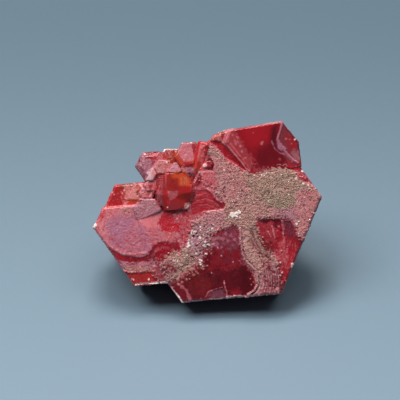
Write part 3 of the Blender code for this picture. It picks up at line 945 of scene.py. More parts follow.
area("greyish brown middle of the corner", (9.5, 6.7), (10.3, 6.8), (10.6, 5.6), (9.8, 5.7),
     soft=0.5, ragged=0.2, dark=0.5, milky=0.6, lilac=0.6, crust=0.35, olive=0.5)
area("red streaks of the corner", (9.1, 5.7), (10.6, 5.4), (10.9, 4.2), (9.3, 4.8),
     ragged=0.2, dark=0.25, milky=0.2, crust=0)
line("lilac ridge", (8.5, 9.8), (8.2, 8.8), (8.0, 8.0), (8.2, 7.4), (8.7, 6.8), (9.2, 6.2),
     (9.7, 5.7), (10.2, 5.4),
     width=0.2, share=0.85, dark=0.1, milky=1, lilac=0.7, pale=0.15, rise=0.07)
area("wide part of the lilac ridge", (7.9, 7.9), (8.4, 7.5), (8.9, 6.9), (8.7, 6.6), (8.0, 6.9),
     soft=0.25, ragged=0.08, dark=0.3, milky=0.9, lilac=0.9, rise=0.05)
line("second lilac line", (7.3, 7.8), (7.7, 6.9), (8.2, 6.5), (9.0, 6.2), (9.6, 5.5),
     width=0.13, share=0.7, dark=0.4, milky=0.75, lilac=0.7, rise=0.03)
dots("pink spots of the corner", (9.3, 8.0), (8.9, 8.0), (9.5, 7.5), (10.0, 5.0), (10.3, 6.0),
     share=0.7, milky=0.9, lilac=0.2)
dots("white spots of the corner", (9.9, 8.0), (10.7, 4.5), size=0.22, milky=1, pale=0.9)
line("pink top edge", (2.6, 9.0), (5.0, 9.4), (6.9, 9.7),
     share=0.6, dark=0.1, milky=0.8, lilac=0.3, pale=0.15, tone=0.4)
line("dark right edge", (8.6, 9.7), (10.1, 7.7), (10.4, 6.6), (10.8, 4.7),
     width=0.13, ragged=0.03, share=0.7, dark=0.9, milky=0.2, lilac=0.8)

# %% [markdown]
# ## The left plate and its ledge
#
# The left plate is clouded with pink and lilac, in slow swirls. At its lower edge it steps
# down, layer by layer, and each layer of its growth shows as a band of another colour. A
# ledge of another crystal stands out behind its upper edge.

# %% The cloudy face of the left plate
area("coral-pink upper left", (-11.1, 0.7), (-7.9, 0.7), (-8.5, -0.4), (-10.2, -1.0), (-11.6, -2.6),
     (-12.9, -2.0),
     soft=1.2, ragged=0.4, dark=0.03, milky=0.87, lilac=0.05, crust=0.2, tone=0.64)
area("red patch at the left", (-11.9, -0.2), (-11.1, 0.3), (-11.0, -0.6), (-11.7, -1.0),
     ragged=0.2, dark=0.1, milky=0.25, crust=0)
area("pinkish tan lower left", (-12.4, -1.5), (-10.7, -1.0), (-10.3, -3.1), (-11.1, -3.5),
     soft=1.2, ragged=0.4, milky=0.97, lilac=0.1, crust=0.35, tone=0.84)
area("lilac middle", (-10.7, -1.0), (-8.7, -0.4), (-6.9, -1.2), (-7.4, -3.5), (-9.6, -4.1),
     (-10.9, -3.0),
     soft=3.4, ragged=0.7, dark=0.1, milky=0.98, lilac=0.9, crust=0.12, tone=0.6)
area("brighter lilac middle", (-10.0, -1.4), (-8.8, -1.0), (-7.9, -1.7), (-8.2, -3.0), (-9.4, -3.2),
     soft=1.6, ragged=0.5, share=0.8, dark=0, milky=1, lilac=0.95, pale=0.1, tone=0.68)
line("first swirl", (-10.6, -1.2), (-10.0, -0.9), (-9.6, -0.2), (-9.7, 0.4),
     width=0.14, ragged=0.1, share=0.45, dark=0.4, milky=0.6, lilac=0.6)
line("swirl across the lilac", (-10.5, -3.1), (-9.3, -3.2), (-8.8, -2.9), (-8.4, -2.4),
     (-7.6, -2.1), (-6.4, -2.2),
     width=0.16, ragged=0.1, share=0.5, dark=0.5, milky=0.6, lilac=0.8)
line("swirl above the step", (-9.6, -3.9), (-8.4, -4.2), (-7.2, -3.6), (-6.3, -3.3), (-5.4, -2.9),
     width=0.14, ragged=0.12, share=0.4, dark=0.4, milky=0.7, lilac=0.7)
area("tan patch beside the wedge", (-9.3, 0.6), (-8.1, 0.6), (-7.8, 0.0), (-8.3, -0.5),
     (-9.2, -0.2),
     soft=0.8, ragged=0.3, dark=0.2, milky=0.9, lilac=0.35, crust=0.45, olive=0.3, tone=0.42)
NETTED = [(-9.8, -0.6), (-6.8, -0.8), (-4.9, -1.8), (-5.2, -3.3), (-7.5, -4.3), (-9.8, -3.7)]
dots("small gaps of the cloud", *scatter(NETTED, 60, 31),
     size=0.13, ragged=0.12, share=0.6, dark=0.5, milky=0.45, lilac=0.7)
area("mauve right part", (-8.0, -1.1), (-5.0, -1.6), (-5.0, -4.0), (-6.0, -4.8), (-8.0, -4.7),
     (-8.7, -3.3),
     soft=1.8, ragged=0.6, dark=0.2, milky=0.84, lilac=0.5)
area("salmon-pink part", (-7.0, -0.4), (-5.8, 0.1), (-4.6, 0.1), (-4.6, -1.6), (-6.3, -1.9),
     (-7.6, -1.1),
     soft=0.9, ragged=0.3, dark=0, milky=1, lilac=0.1, crust=0.15, mottle=0.55, tone=0.86)
area("fine pink part", (-5.8, -1.9), (-2.5, -1.9), (-2.1, -3.4), (-3.9, -3.7), (-5.8, -3.4),
     soft=0.6, ragged=0.3, dark=0.15, milky=0.75, lilac=0.35, crust=0.15)
area("red netting", (-3.1, 0.1), (-1.3, -0.1), (-1.6, -1.8), (-2.0, -3.3), (-2.8, -2.6),
     ragged=0.25, dark=0.15, milky=0.5, lilac=0.25)
NET = [(-3.2, 0.1), (-1.9, 0.2), (-1.7, -2.0), (-2.1, -4.3), (-3.2, -3.3), (-2.9, -1.6)]
dots("crimson gaps of the netting", *scatter(NET, 46, 32),
     size=0.22, ragged=0.14, share=0.75, dark=0.3, milky=0.12, lilac=0.4, crust=0)
dots("pale grains of the netting", *scatter(NET, 26, 33),
     size=0.15, ragged=0.08, share=0.8, milky=1, crust=0.2, pale=0.3)
area("crimson patch", (-4.6, 0.1), (-3.4, 0.1), (-3.4, -1.1), (-2.6, -1.3), (-2.8, -2.3),
     (-4.7, -2.1), (-5.2, -1.2),
     soft=0.3, ragged=0.25, dark=0, milky=0.16, lilac=0.4, tone=0.78)
line("dark swirl", (-10.2, -3.0), (-9.7, -3.3), (-8.8, -3.4), (-8.4, -3.0), (-8.5, -2.5),
     (-8.0, -2.0),
     width=0.25, soft=0.25, ragged=0.12, share=0.7, dark=0.5, milky=0.55, lilac=0.8)
line("second swirl", (-8.5, -0.8), (-7.8, -1.5), (-6.7, -2.0), (-5.8, -1.8),
     width=0.2, soft=0.3, ragged=0.15, share=0.5, milky=0.95, lilac=0.9)
area("crimson swirl", (-6.5, -4.8), (-5.6, -3.7), (-4.5, -3.2), (-3.0, -3.4), (-2.6, -4.4),
     (-3.9, -5.1), (-5.2, -5.7), (-6.3, -5.5),
     soft=0.3, ragged=0.2, dark=0.46, milky=0.06, lilac=0.6, rise=-0.05)
line("mauve band left of the swirl", (-6.1, -5.0), (-5.6, -4.6), (-5.2, -4.1),
     width=0.3, soft=0.2, ragged=0.12, share=0.8, dark=0.3, milky=0.55)
line("thin arc under the pale one", (-5.2, -5.1), (-4.7, -4.7), (-4.1, -4.7), (-3.6, -5.1),
     ragged=0.06, share=0.5, milky=0.5, lilac=0.5)
line("pale arc in the swirl", (-5.4, -4.3), (-4.7, -3.9), (-4.0, -4.0), (-3.5, -4.4),
     width=0.2, ragged=0.1, share=0.55, milky=0.6, lilac=0.4)

# %% The bands at its lower edge
area("dark red step", (-10.7, -3.6), (-9.1, -4.7), (-7.2, -5.0), (-6.0, -4.6), (-4.7, -4.4),
     (-5.0, -5.5), (-7.2, -5.7), (-9.6, -5.5), (-10.4, -4.4),
     soft=0.25, dark=0.48, milky=0.08, lilac=0.5, crust=0, rise=-0.08)
area("brighter left end of the step", (-10.7, -3.7), (-8.9, -4.7), (-8.9, -5.3), (-10.0, -5.0),
     ragged=0.15, dark=0.28, milky=0.15, lilac=0.5)
line("pale rim of the cloudy face", (-10.7, -3.5), (-10.0, -4.1), (-9.1, -4.6), (-7.8, -4.7),
     (-6.5, -4.5),
     width=0.28, soft=0.2, ragged=0.06, share=0.85, dark=0, milky=1, lilac=0.4, crust=0.2,
     pale=0.35, rise=0.05)
area("lilac-tan layer", (-9.8, -5.4), (-8.0, -5.6), (-5.8, -5.4), (-5.2, -5.5), (-5.4, -6.6),
     (-7.2, -6.7), (-8.9, -6.6),
     soft=0.25, ragged=0.12, dark=0.1, milky=1, lilac=0.65, crust=0.3, tone=0.62, rise=-0.12)
area("tan-orange layer", (-9.1, -6.0), (-6.0, -5.9), (-5.5, -6.5), (-8.7, -6.7),
     soft=0.3, ragged=0.15, dark=0.3, orange=0.3, milky=0.75, lilac=0.4, crust=0.5, olive=0.5,
     tone=0.42, rise=-0.14)
area("orange-red layer", (-8.9, -6.7), (-7.2, -6.7), (-5.4, -6.6), (-4.7, -7.8), (-7.8, -8.5),
     (-8.7, -7.5),
     soft=0.2, dark=0.3, orange=0.15, milky=0.1, lilac=0, crust=0, rise=-0.2)
area("mauve strip to the notch", (-6.0, -4.7), (-5.0, -5.1), (-4.6, -6.4), (-3.9, -7.9),
     (-5.0, -7.9), (-5.7, -6.6),
     soft=0.5, ragged=0.45, dark=0.55, milky=0.4, lilac=0.5, crust=0.25, rise=-0.05)
line("line between the layers", (-9.7, -5.4), (-8.0, -5.7), (-5.8, -5.5),
     width=0.1, ragged=0.03, share=0.6, milky=1, lilac=0.5, pale=0.2)
line("line above the orange layer", (-8.9, -6.7), (-7.2, -6.7), (-5.6, -6.6),
     ragged=0.04, share=0.7, dark=0.7, orange=0.2, milky=0.1, crust=0.1)
line("pale bottom rim of the left plate", (-7.8, -8.2), (-6.0, -8.0), (-4.2, -7.7),
     width=0.26, dark=0, milky=1, lilac=0.2, pale=0.85, tone=1)
line("dark lower left edge", (-12.2, -2.2), (-10.4, -4.4), (-8.1, -7.9),
     width=0.13, ragged=0.03, share=0.75, dark=0.8, milky=0.3, lilac=0.8, crust=0)
dots("white spots", (-8.1, -7.4), (-7.9, -7.5), (-7.0, -7.9), (-6.2, -7.4),
     size=0.15, ragged=0.08, share=0.9, milky=1, pale=0.8)
area("white chip at the left corner", (-12.5, -1.4), (-12.1, -1.1), (-11.9, -1.4), (-12.1, -1.8),
     (-12.4, -1.8),
     soft=0.15, milky=1, pale=0.9, rise=0.1)
line("pale upper edge", (-11.3, 0.4), (-9.6, 0.6), (-7.9, 0.7),
     ragged=0.08, share=0.5, milky=1, lilac=0.1, pale=0.3)

# %% The ledge
area("bright red of the ledge", (-11.2, 0.4), (-10.0, 3.3), (-8.9, 3.3), (-8.7, 2.4), (-9.0, 0.6),
     ragged=0.15, dark=0.15, orange=0.1, milky=0.1, lilac=0)
area("orange top of the ledge", (-9.5, 3.4), (-7.4, 3.4), (-7.4, 2.5), (-9.3, 2.4),
     soft=0.7, ragged=0.3, dark=0.5, orange=0.75, milky=0.1, lilac=0, crust=0.15, olive=0.6, tone=0)
area("orange-tan grains of the ledge", (-8.9, 2.6), (-7.0, 2.8), (-6.9, 1.0), (-8.7, 0.8),
     soft=1.3, ragged=0.5, dark=0.1, orange=0.7, milky=0.8, lilac=0, crust=0.45, olive=0.25,
     tone=0.8, rise=0.06)
area("pink lumps of the ledge", (-7.3, 3.5), (-5.2, 3.5), (-5.1, 1.2), (-6.9, 1.3),
     ragged=0.25, dark=0.05, milky=0.85, lilac=0.1, crust=0.2, tone=0.8)
area("red edge below the grains", (-8.5, 1.3), (-6.9, 1.3), (-7.0, 0.7), (-8.5, 0.7),
     soft=0.3, ragged=0.15, dark=0.15, milky=0.1, crust=0, rise=-0.05)
dots("dark pit", (-7.4, 2.2), (-7.4, 1.9),
     ragged=0.12, share=0.8, dark=0.8, milky=0.1, grime=0.2, rise=-0.03)
dots("pale bead", (-7.0, 2.8), size=0.3, milky=1, pale=0.6, rise=0.12)
dots("specks of the ledge", (-10.2, 2.2), (-10.0, 1.9), (-10.6, 1.3),
     size=0.18, share=0.8, milky=0.9, pale=0.5)
area("grey wedge", (-8.05, 0.7), (-7.2, 1.35), (-6.3, 1.5), (-5.5, 1.25), (-4.95, 0.75),
     (-4.9, -0.02), (-5.9, -0.2), (-6.7, -0.5), (-7.3, -1.08), (-7.75, -0.3),
     soft=0.15, ragged=0.05, dark=0.2, milky=0.95, lilac=0.7, crust=0.35, olive=0.35, tone=0.56)
line("pale edge of the wedge", (-7.2, -1.0), (-6.65, -0.48), (-5.9, -0.18), (-5.0, -0.05),
     ragged=0.06, share=0.8, milky=1, crust=0.3, pale=0.35)
line("shade at the foot of the wedge", (-7.9, 0.6), (-7.7, -0.4), (-7.3, -1.1),
     width=0.2, soft=0.15, share=0.7, dark=0.85, milky=0.5, lilac=0.8, grime=0.2)

# %% [markdown]
# ## The small crystals
#
# Each small crystal in the notch has a few flat faces, and each face has its own colour.

# %% The violet crystal and its neighbours
area("violet crystal", (-7.9, 4.6), (-7.3, 6.2), (-6.6, 6.8), (-4.4, 6.8), (-3.9, 6.2), (-5.0, 4.3),
     (-6.4, 3.1),
     soft=0.1, ragged=0, dark=0.5, milky=0.7, lilac=0.75, crust=0.25, olive=0.4, tone=0.34)
line("dark left edge of the violet crystal", (-7.6, 4.7), (-7.3, 5.7), (-6.85, 6.2),
     width=0.4, soft=0.3, share=0.6, dark=0.9, milky=0.4, lilac=1)
area("its crimson corner", (-6.8, 6.2), (-6.5, 6.6), (-5.7, 6.6), (-5.75, 5.85), (-6.5, 5.85),
     soft=0.2, ragged=0.08, dark=0.45, milky=0.15, lilac=0.4, crust=0)
area("its coral-red top", (-5.9, 6.6), (-4.4, 6.6), (-4.1, 6.1), (-4.4, 5.7), (-5.8, 5.75),
     soft=0.2, ragged=0.08, dark=0.15, milky=0.2, lilac=0.15, crust=0, tone=0.3)
line("dark top edge", (-6.5, 6.6), (-4.7, 6.62), width=0.14, share=0.8, dark=0.85, milky=0.1)
line("pale side of its corner", (-4.45, 6.55), (-4.25, 6.3), (-4.05, 6.1),
     share=0.8, milky=1, pale=0.5)
dots("crimson spot", (-5.65, 5.4), size=0.42, share=0.8, dark=0.35, milky=0.15, crust=0)
area("left half of the lilac crystal", (-5.65, 5.02), (-6.3, 4.65), (-6.65, 3.5), (-6.3, 3.3),
     (-5.85, 3.35),
     soft=0.08, ragged=0.02, dark=0, milky=1, lilac=0.85, crust=0, pale=0.42, tone=0.5)
area("right half of the lilac crystal", (-5.65, 5.02), (-5.55, 4.6), (-5.3, 4.2), (-5.4, 3.6),
     (-5.85, 3.35), (-5.9, 4.2),
     soft=0.08, ragged=0.02, dark=0, milky=1, lilac=0.3, crust=0.3, pale=0.3, tone=0.45)
area("grainy crystal", (-5.5, 5.7), (-3.8, 5.7), (-3.7, 4.4), (-4.6, 4.15), (-5.4, 4.3),
     (-5.55, 4.7),
     soft=0.15, dark=0.2, milky=0.85, lilac=0.2, crust=0.3, tone=0.4)
dots("glint of the grainy crystal", (-4.2, 5.5), size=0.28, share=0.9, milky=1, pale=0.7)
# Painted highlights: two white dots where the violet crystal's top corner catches the light from
# behind
dots("white dots of the violet crystal", (-6.85, 6.15), (-6.65, 6.4), size=0.16, milky=1, pale=1)

# %% The crown, the rose and the scarlet crystals
area("orange-brown crown crystal", (-4.4, 7.0), (-2.9, 7.0), (-2.85, 6.2), (-3.1, 5.6), (-3.8, 5.2),
     (-4.3, 5.6),
     soft=0.15, ragged=0.06, dark=0.4, orange=0.6, milky=0.15, lilac=0, tone=0.3)
area("brown-pink part of the crown", (-4.3, 6.9), (-3.6, 6.9), (-3.7, 6.2), (-3.75, 5.7),
     (-4.1, 5.75),
     soft=0.2, dark=0.4, orange=0.35, milky=0.45, lilac=0.1, crust=0.25, tone=0.28)
# Painted highlights: the crown's top corner and top edge are white where its rim catches the light
# from behind
area("white chip of the crown", (-4.9, 6.62), (-4.85, 7.05), (-4.35, 7.05), (-4.35, 6.75),
     (-4.45, 6.6),
     soft=0.1, ragged=0.05, dark=0, milky=1, crust=0, pale=1)
line("white edge of the crown", (-4.5, 6.95), (-2.95, 6.98),
     width=0.13, ragged=0.03, share=0.9, milky=1, pale=0.9)
dots("dark spot of the crown", (-3.85, 5.9), size=0.25, share=0.8, dark=1, milky=0)
dots("white dots of the crown", (-3.15, 6.9), (-3.2, 6.65), size=0.14, milky=1, pale=0.9)
line("orange-brown side of the rose crystal", (-3.15, 6.6), (-2.95, 5.75), (-2.4, 5.3),
     (-1.2, 5.25),
     width=0.6, dark=0.3, orange=0.5, milky=0.15, lilac=0, tone=0.4)
line("deep red foot of the rose crystal", (-2.3, 5.2), (-1.15, 5.2),
     width=0.4, soft=0.15, dark=0.4, orange=0.1, milky=0.05, tone=0.6)
# Painted shade: a dark line under the rose crystal's lower side
line("dark seam under the rose crystal", (-2.3, 4.97), (-1.2, 4.98),
     width=0.14, share=0.8, dark=0.75, milky=0)
area("pink face of the rose crystal", (-2.5, 7.7), (-2.95, 6.7), (-2.78, 6.15), (-2.3, 5.55),
     (-1.4, 5.55), (-1.3, 5.9), (-0.85, 6.5), (-0.9, 7.4), (-1.3, 7.75),
     soft=0.1, ragged=0.03, dark=0.25, orange=0, milky=0.7, lilac=0.3, tone=0.35)
area("crimson part of the pink face", (-1.45, 7.7), (-0.8, 7.6), (-0.8, 6.4), (-1.2, 6.3),
     (-1.4, 6.9),
     soft=0.2, dark=0.35, milky=0.2, lilac=0.4)
line("pale side of the pink face", (-1.35, 5.5), (-1.3, 5.95), width=0.1, milky=1, pale=0.5)
# Painted highlights on the top edge of the rose crystal, where its rim catches the light from
# behind
dots("white chips of the rose crystal", (-2.5, 7.6), (-1.55, 7.65), size=0.22, milky=1, pale=1)
area("scarlet prism", (-1.2, 6.1), (-0.9, 7.8), (0.3, 8.2), (0.6, 7.7), (0.35, 6.6), (0.0, 5.3),
     (-0.6, 4.3), (-1.3, 4.6),
     soft=0.12, ragged=0.04, dark=0.1, orange=0.1, milky=0.25, lilac=0.1, crust=0, tone=0.5)
area("muted red beside the prism", (-0.1, 6.6), (0.3, 6.6), (0.4, 5.9), (0.1, 5.4), (-0.5, 4.7),
     (-0.5, 5.4),
     soft=0.25, dark=0.15, milky=0.45, lilac=0.1, crust=0.1, mottle=0.5, tone=0.8)
area("coral front of the prism", (-0.55, 7.7), (0.1, 7.7), (-0.02, 6.7), (-0.15, 6.2), (-0.4, 5.5),
     (-1.0, 5.5), (-0.75, 6.5),
     soft=0.2, ragged=0.05, dark=0, orange=0.2, milky=0.5, lilac=0, tone=1)
area("orange-red foot of the prism", (-1.25, 6.0), (-0.75, 5.9), (-0.6, 4.9), (-0.85, 4.5),
     (-1.3, 4.6),
     soft=0.5, dark=0.05, orange=0.35, milky=0.1, tone=0.6)
line("crimson left side of the prism", (-0.65, 7.6), (-0.85, 6.9), (-1.05, 6.2),
     width=0.26, share=0.9, dark=0.12, milky=0.18, lilac=0.2, tone=0.6)
# Painted light: the prism's right side face lies in shade, and its crimson is painted at full
# lightness as if it were lit
line("crimson right side of the prism", (0.28, 7.6), (0.16, 6.9), (0.02, 6.4),
     width=0.3, dark=0, milky=0.15, tone=1)
line("pale right edge of the prism", (0.42, 7.4), (0.35, 6.9), (0.28, 6.5),
     share=0.8, milky=0.9, lilac=0.1, crust=0.3, tone=0.9)
dots("glint of the prism", (-0.3, 7.2), share=0.7, milky=0.8, pale=0.35)
area("dark red lump", (0.1, 5.0), (0.3, 6.0), (0.7, 5.95), (0.95, 5.4), (0.8, 4.6), (0.3, 4.55),
     soft=0.15, ragged=0.04, dark=0.45, milky=0.2, lilac=0.2, crust=0, tone=0.4)
# Painted shade on the lower right side of the lump
line("darkest side of the lump", (0.5, 5.85), (0.78, 5.4), (0.8, 4.9),
     width=0.2, soft=0.2, share=0.5, dark=0.7, milky=0, crust=0)
line("pale line under the lump", (0.05, 4.52), (0.5, 4.45), (0.9, 4.5),
     share=0.8, milky=0.9, crust=0, pale=0.35)

# %% The dusky stud and the crevice
area("shoulder of the amber crystal", (-3.4, 5.5), (-2.95, 5.25), (-2.65, 4.35), (-3.9, 4.3),
     (-3.8, 5.0),
     soft=0.1, ragged=0.03, dark=0.2, milky=0.9, lilac=0.5, crust=0.25, olive=0.1, tone=0.3)
area("dusky stud", (-2.65, 4.9), (-1.1, 4.9), (-0.75, 4.3), (-1.1, 3.6), (-2.2, 3.6), (-2.75, 4.2),
     soft=0.12, ragged=0.06, dark=0.5, milky=0.6, lilac=0.4, crust=0.15, olive=0.4, tone=0.4)
area("mauve face of the dusky stud", (-1.95, 4.85), (-1.35, 4.88), (-1.35, 4.4), (-1.9, 4.35),
     soft=0.12, ragged=0.05, dark=0.2, milky=0.9, lilac=0.95, crust=0)
area("tan face of the dusky stud", (-2.5, 4.8), (-1.98, 4.82), (-1.98, 4.3), (-2.5, 4.3),
     soft=0.12, ragged=0.05, dark=0.2, milky=0.9, lilac=0.1, crust=0.4)
area("brownish red face of the dusky stud", (-1.25, 4.8), (-0.55, 4.75), (-0.6, 4.2), (-1.2, 4.15),
     soft=0.15, ragged=0.06, dark=0.5, orange=0.3, milky=0.25, crust=0.1)
area("maroon face of the dusky stud", (-1.98, 4.3), (-1.2, 4.3), (-1.05, 3.7), (-1.95, 3.65),
     soft=0.15, ragged=0.06, dark=0.85, orange=0.25, milky=0.12)
dots("yellowish grain of the dusky stud", (-1.35, 4.7), crust=0.8, olive=0.6, tone=0.9)
# Painted shade: the crevice between the crystals is darkened
area("dark crevice", (-1.6, 3.8), (-1.05, 3.8), (-1.1, 3.1), (-1.3, 2.4), (-1.5, 2.0), (-1.5, 2.7),
     soft=0.2, ragged=0.08, dark=0.6, orange=0.1, milky=0.15, crust=0, tone=0.6)
area("dark crimson beside the crevice", (-1.1, 3.2), (-0.85, 3.9), (-0.6, 4.25), (-0.35, 3.9),
     (-0.5, 3.2), (-0.9, 2.7),
     soft=0.2, ragged=0.08, dark=0.6, milky=0.1, lilac=0.2, crust=0)
# Painted highlight: white dots along the plate's edge beside the crevice, where it catches the
# light
dots("white edge of the crevice", (-1.15, 3.25), (-1.05, 3.42), (-0.95, 3.6), (-0.85, 3.9),
     (-0.7, 4.15),
     size=0.12, share=0.8, milky=1, crust=0, pale=0.5)
dots("bright pink grain", (-0.04, 5.1),
     size=0.55, soft=0.15, ragged=0.02, dark=0, milky=0.95, lilac=0, crust=0, pale=0.42, tone=0.9)

# %% The beads
area("pink bead", (-7.3, 3.3), (-6.2, 3.4), (-5.8, 3.2), (-6.0, 1.5), (-7.2, 1.5),
     soft=0.15, ragged=0.08, dark=0.25, milky=0.72, lilac=0.05, crust=0.1, tone=0.45)
area("red bead", (-6.15, 2.95), (-5.2, 2.95), (-5.2, 2.15), (-6.1, 2.2),
     soft=0.15, ragged=0.06, dark=0.25, milky=0.25, lilac=0)
area("dark red corner of the beads", (-5.85, 2.2), (-5.15, 2.2), (-5.25, 1.2), (-5.6, 1.5),
     soft=0.15, ragged=0.05, dark=0.75, milky=0.05)
dots("pale bead", (-6.95, 2.85), size=0.28, share=0.9, milky=1, pale=0.5)
line("red strip above the wedge", (-8.0, 1.2), (-7.1, 1.25), width=0.35, dark=0.3, milky=0.15)
dots("glint of the wedge", (-5.5, 0.95), size=0.26, share=0.8, milky=1, pale=0.6)

# %% Faces of the amber crystal
area("amber crystal", (-5.35, 4.25), (-4.4, 4.4), (-2.2, 4.4), (-1.45, 3.6), (-1.4, 2.4),
     (-1.7, 1.1), (-2.5, 0.35), (-4.4, -0.1), (-5.05, 0.6), (-5.4, 2.9),
     soft=0.08, ragged=0, dark=0.35, orange=0.12, milky=0.05, lilac=0, crust=0, tone=0.4, rise=0)
area("pink left side", (-5.4, 4.15), (-4.3, 4.15), (-4.2, 2.5), (-5.3, 2.6),
     ragged=0.15, dark=0.35, milky=0.32, lilac=0.25, crust=0.05)
area("mauve-brown left side", (-5.4, 2.6), (-4.6, 2.45), (-4.55, 0.55), (-5.1, 0.4),
     soft=0.6, ragged=0.2, dark=0.5, milky=0.5, lilac=0.5, crust=0.12, olive=0.5, tone=0.5)
area("crimson left side", (-4.62, 2.4), (-4.1, 2.4), (-4.0, 0.4), (-4.6, 0.5),
     ragged=0.12, dark=0.25, milky=0.12, lilac=0.3, tone=0.5)
line("dark groove of the left side", (-4.5, 4.1), (-4.5, 2.6),
     width=0.14, share=0.5, dark=0.8, milky=0.1)
area("orange-red face", (-4.15, 4.2), (-2.95, 4.25), (-2.9, 2.42), (-3.6, 2.32), (-4.1, 2.37),
     soft=0.25, ragged=0.08, dark=0.38, orange=0.3, milky=0.03, tone=0.3)
dots("deeper red in the orange face", (-3.75, 3.0), (-3.3, 2.8), (-3.5, 3.4),
     size=0.55, soft=0.4, ragged=0.15, share=0.7, dark=0.45, orange=0.12)
area("bright orange top", (-3.6, 4.35), (-2.2, 4.35), (-2.35, 3.8), (-3.0, 3.65), (-3.5, 3.75),
     ragged=0.12, dark=0.12, orange=0.95, milky=0.03, tone=0.36)
line("light streak", (-4.28, 4.0), (-4.3, 3.2),
     width=0.1, ragged=0.02, share=0.7, milky=0.9, pale=0.35)
area("yellow-brown face", (-2.9, 3.8), (-2.0, 4.1), (-1.6, 3.6), (-1.6, 2.8), (-2.9, 2.8),
     soft=0.3, dark=0.15, orange=1, milky=0.08, crust=0.2, olive=0.7, tone=0.6)
for across in (-2.25, -2.05, -2.6):
    line("yellow streak", (across, 3.8), (across + 0.03, 2.9),
         width=0.08, ragged=0.03, share=0.6, orange=1, crust=0.6, olive=0.9, tone=0.9)
line("pink right edge", (-1.6, 3.6), (-1.55, 2.6), (-1.7, 1.9),
     width=0.1, ragged=0.03, share=0.7, milky=0.8, lilac=0.2)
area("red right face", (-2.88, 2.8), (-1.55, 2.8), (-1.6, 2.1), (-2.88, 2.1),
     soft=0.3, ragged=0.08, dark=0.15, orange=0.08, milky=0.04, tone=0.52)
area("dark brown foot of the right face", (-2.88, 2.15), (-1.65, 2.15), (-1.8, 1.3), (-2.8, 1.4),
     soft=0.3, dark=0.45, orange=0.25, milky=0.04, tone=0.6)
area("small pink face", (-4.1, 2.35), (-3.6, 2.3), (-2.9, 2.4), (-2.95, 1.9), (-3.2, 1.55),
     (-3.6, 1.3), (-3.95, 1.3), (-4.05, 1.8),
     soft=0.08, ragged=0.02, dark=0.25, milky=0.55, lilac=0.35, tone=0.38)
dots("grey middle of the pink face", (-3.5, 1.85),
     size=0.5, soft=0.3, share=0.6, dark=0.4, milky=0.75, lilac=0.6)
area("lower red face", (-4.15, 1.25), (-3.6, 1.25), (-3.2, 1.5), (-2.8, 1.4), (-2.2, 0.6),
     (-3.2, 0.2), (-4.2, 0.2),
     soft=0.2, ragged=0.06, dark=0, orange=0.06, milky=0.09, tone=1)
area("brownish part of the lower face", (-2.9, 1.45), (-2.2, 1.3), (-2.15, 0.5), (-2.9, 0.5),
     soft=0.3, ragged=0.08, dark=0.25, orange=0.25, milky=0.05, tone=0.9)
line("pale edge of the left side", (-5.3, 4.25), (-4.0, 4.27),
     width=0.14, share=0.8, milky=1, crust=0.4, pale=0.4)
# Painted shadow: a thin dark line where the amber crystal meets the plate below it
line("dark foot of the amber crystal", (-4.95, 0.6), (-4.5, 0.2), (-4.0, 0.1), (-3.2, 0.2),
     (-2.6, 0.42), (-2.15, 0.8),
     width=0.08, ragged=0.03, share=0.6, dark=1, milky=0, crust=0)
dots("white dot of the lower face", (-4.1, 0.5), size=0.16, milky=1, pale=0.9)
area("long pale grain", (-2.35, 0.4), (-2.2, 0.95), (-1.8, 1.05), (-1.55, 0.8), (-1.8, 0.35),
     (-2.15, 0.25),
     soft=0.1, ragged=0.05, dark=0, milky=1, lilac=0, crust=0.1, olive=0.2, pale=0.4, tone=0.8)

# %% [markdown]
# ## Texture of the surface
#
# Over the layers comes what no outline can hold: the unevenness of the crust, its pits, slow
# clouds and swirls in the film, small gaps in it, low growth steps on the clear faces, and
# chipped rims. All of it is noise, worked out at each point, and stronger where the channels
# say so.

# %% Clouds, gaps, pits and chips, with sizes in millimetres
CLOUD = 3.2
SWIRLS = 9
GAP_SHARE = 0.14
BEAD_SHARE = 0.12
LUMP = 0.6
LUMP_STRETCH = np.array((0.75, 1.25, 1.0))
PIT_DEPTH = 0.05
CHIP = 0.45
FRESH_BREAK = 0.3
CHIP_DEPTH = 0.08
# A crystal whose sides are this far from its axis has chips of full size
FULL_SIZE = 3


def add_clouds(skin):
    """Slow swirls in the film."""
    drift = rough(skin.points, CLOUD, 2, 3)
    bands = np.sin(SWIRLS * drift + 1.6 * skin.wobble)
    clear = (1 - skin.crust) * (1 - skin.pale)
    film = smooth(0.15, 0.6, skin.milky) * clear
    skin.milky += (0.07 * bands + 0.08 * skin.wobble) * film * skin.mottle
    skin.lilac += (0.16 * drift + 0.1 * bands) * film
    skin.tone += 0.05 * bands * film
    skin.dark += (0.12 * drift + 0.05 * bands) * clear * (0.3 + skin.mottle)
    skin.rise += 0.01 * smooth(-0.2, 0.2, bands) * film


def add_gaps(skin):
    """Small gaps in the film, where the clear red shows, and small milky grains."""
    film = smooth(0.2, 0.6, skin.milky) * (1 - skin.crust) * skin.mottle
    inside = smooth(0.02, 0.2, skin.inside)
    gap = (chance(skin.middle, 7) < GAP_SHARE) * inside * film
    skin.cover(0.4 * gap, milky=0.15, dark=0.55)
    bead = (chance(skin.middle, 8) < BEAD_SHARE) * inside * film
    skin.cover(0.35 * bead, milky=1, pale=0.35)
    skin.tone += 0.3 * (skin.level - 0.5) * film
    skin.rise += film * (0.03 * (skin.level - 0.5) + 0.03 * bead - 0.02 * gap)


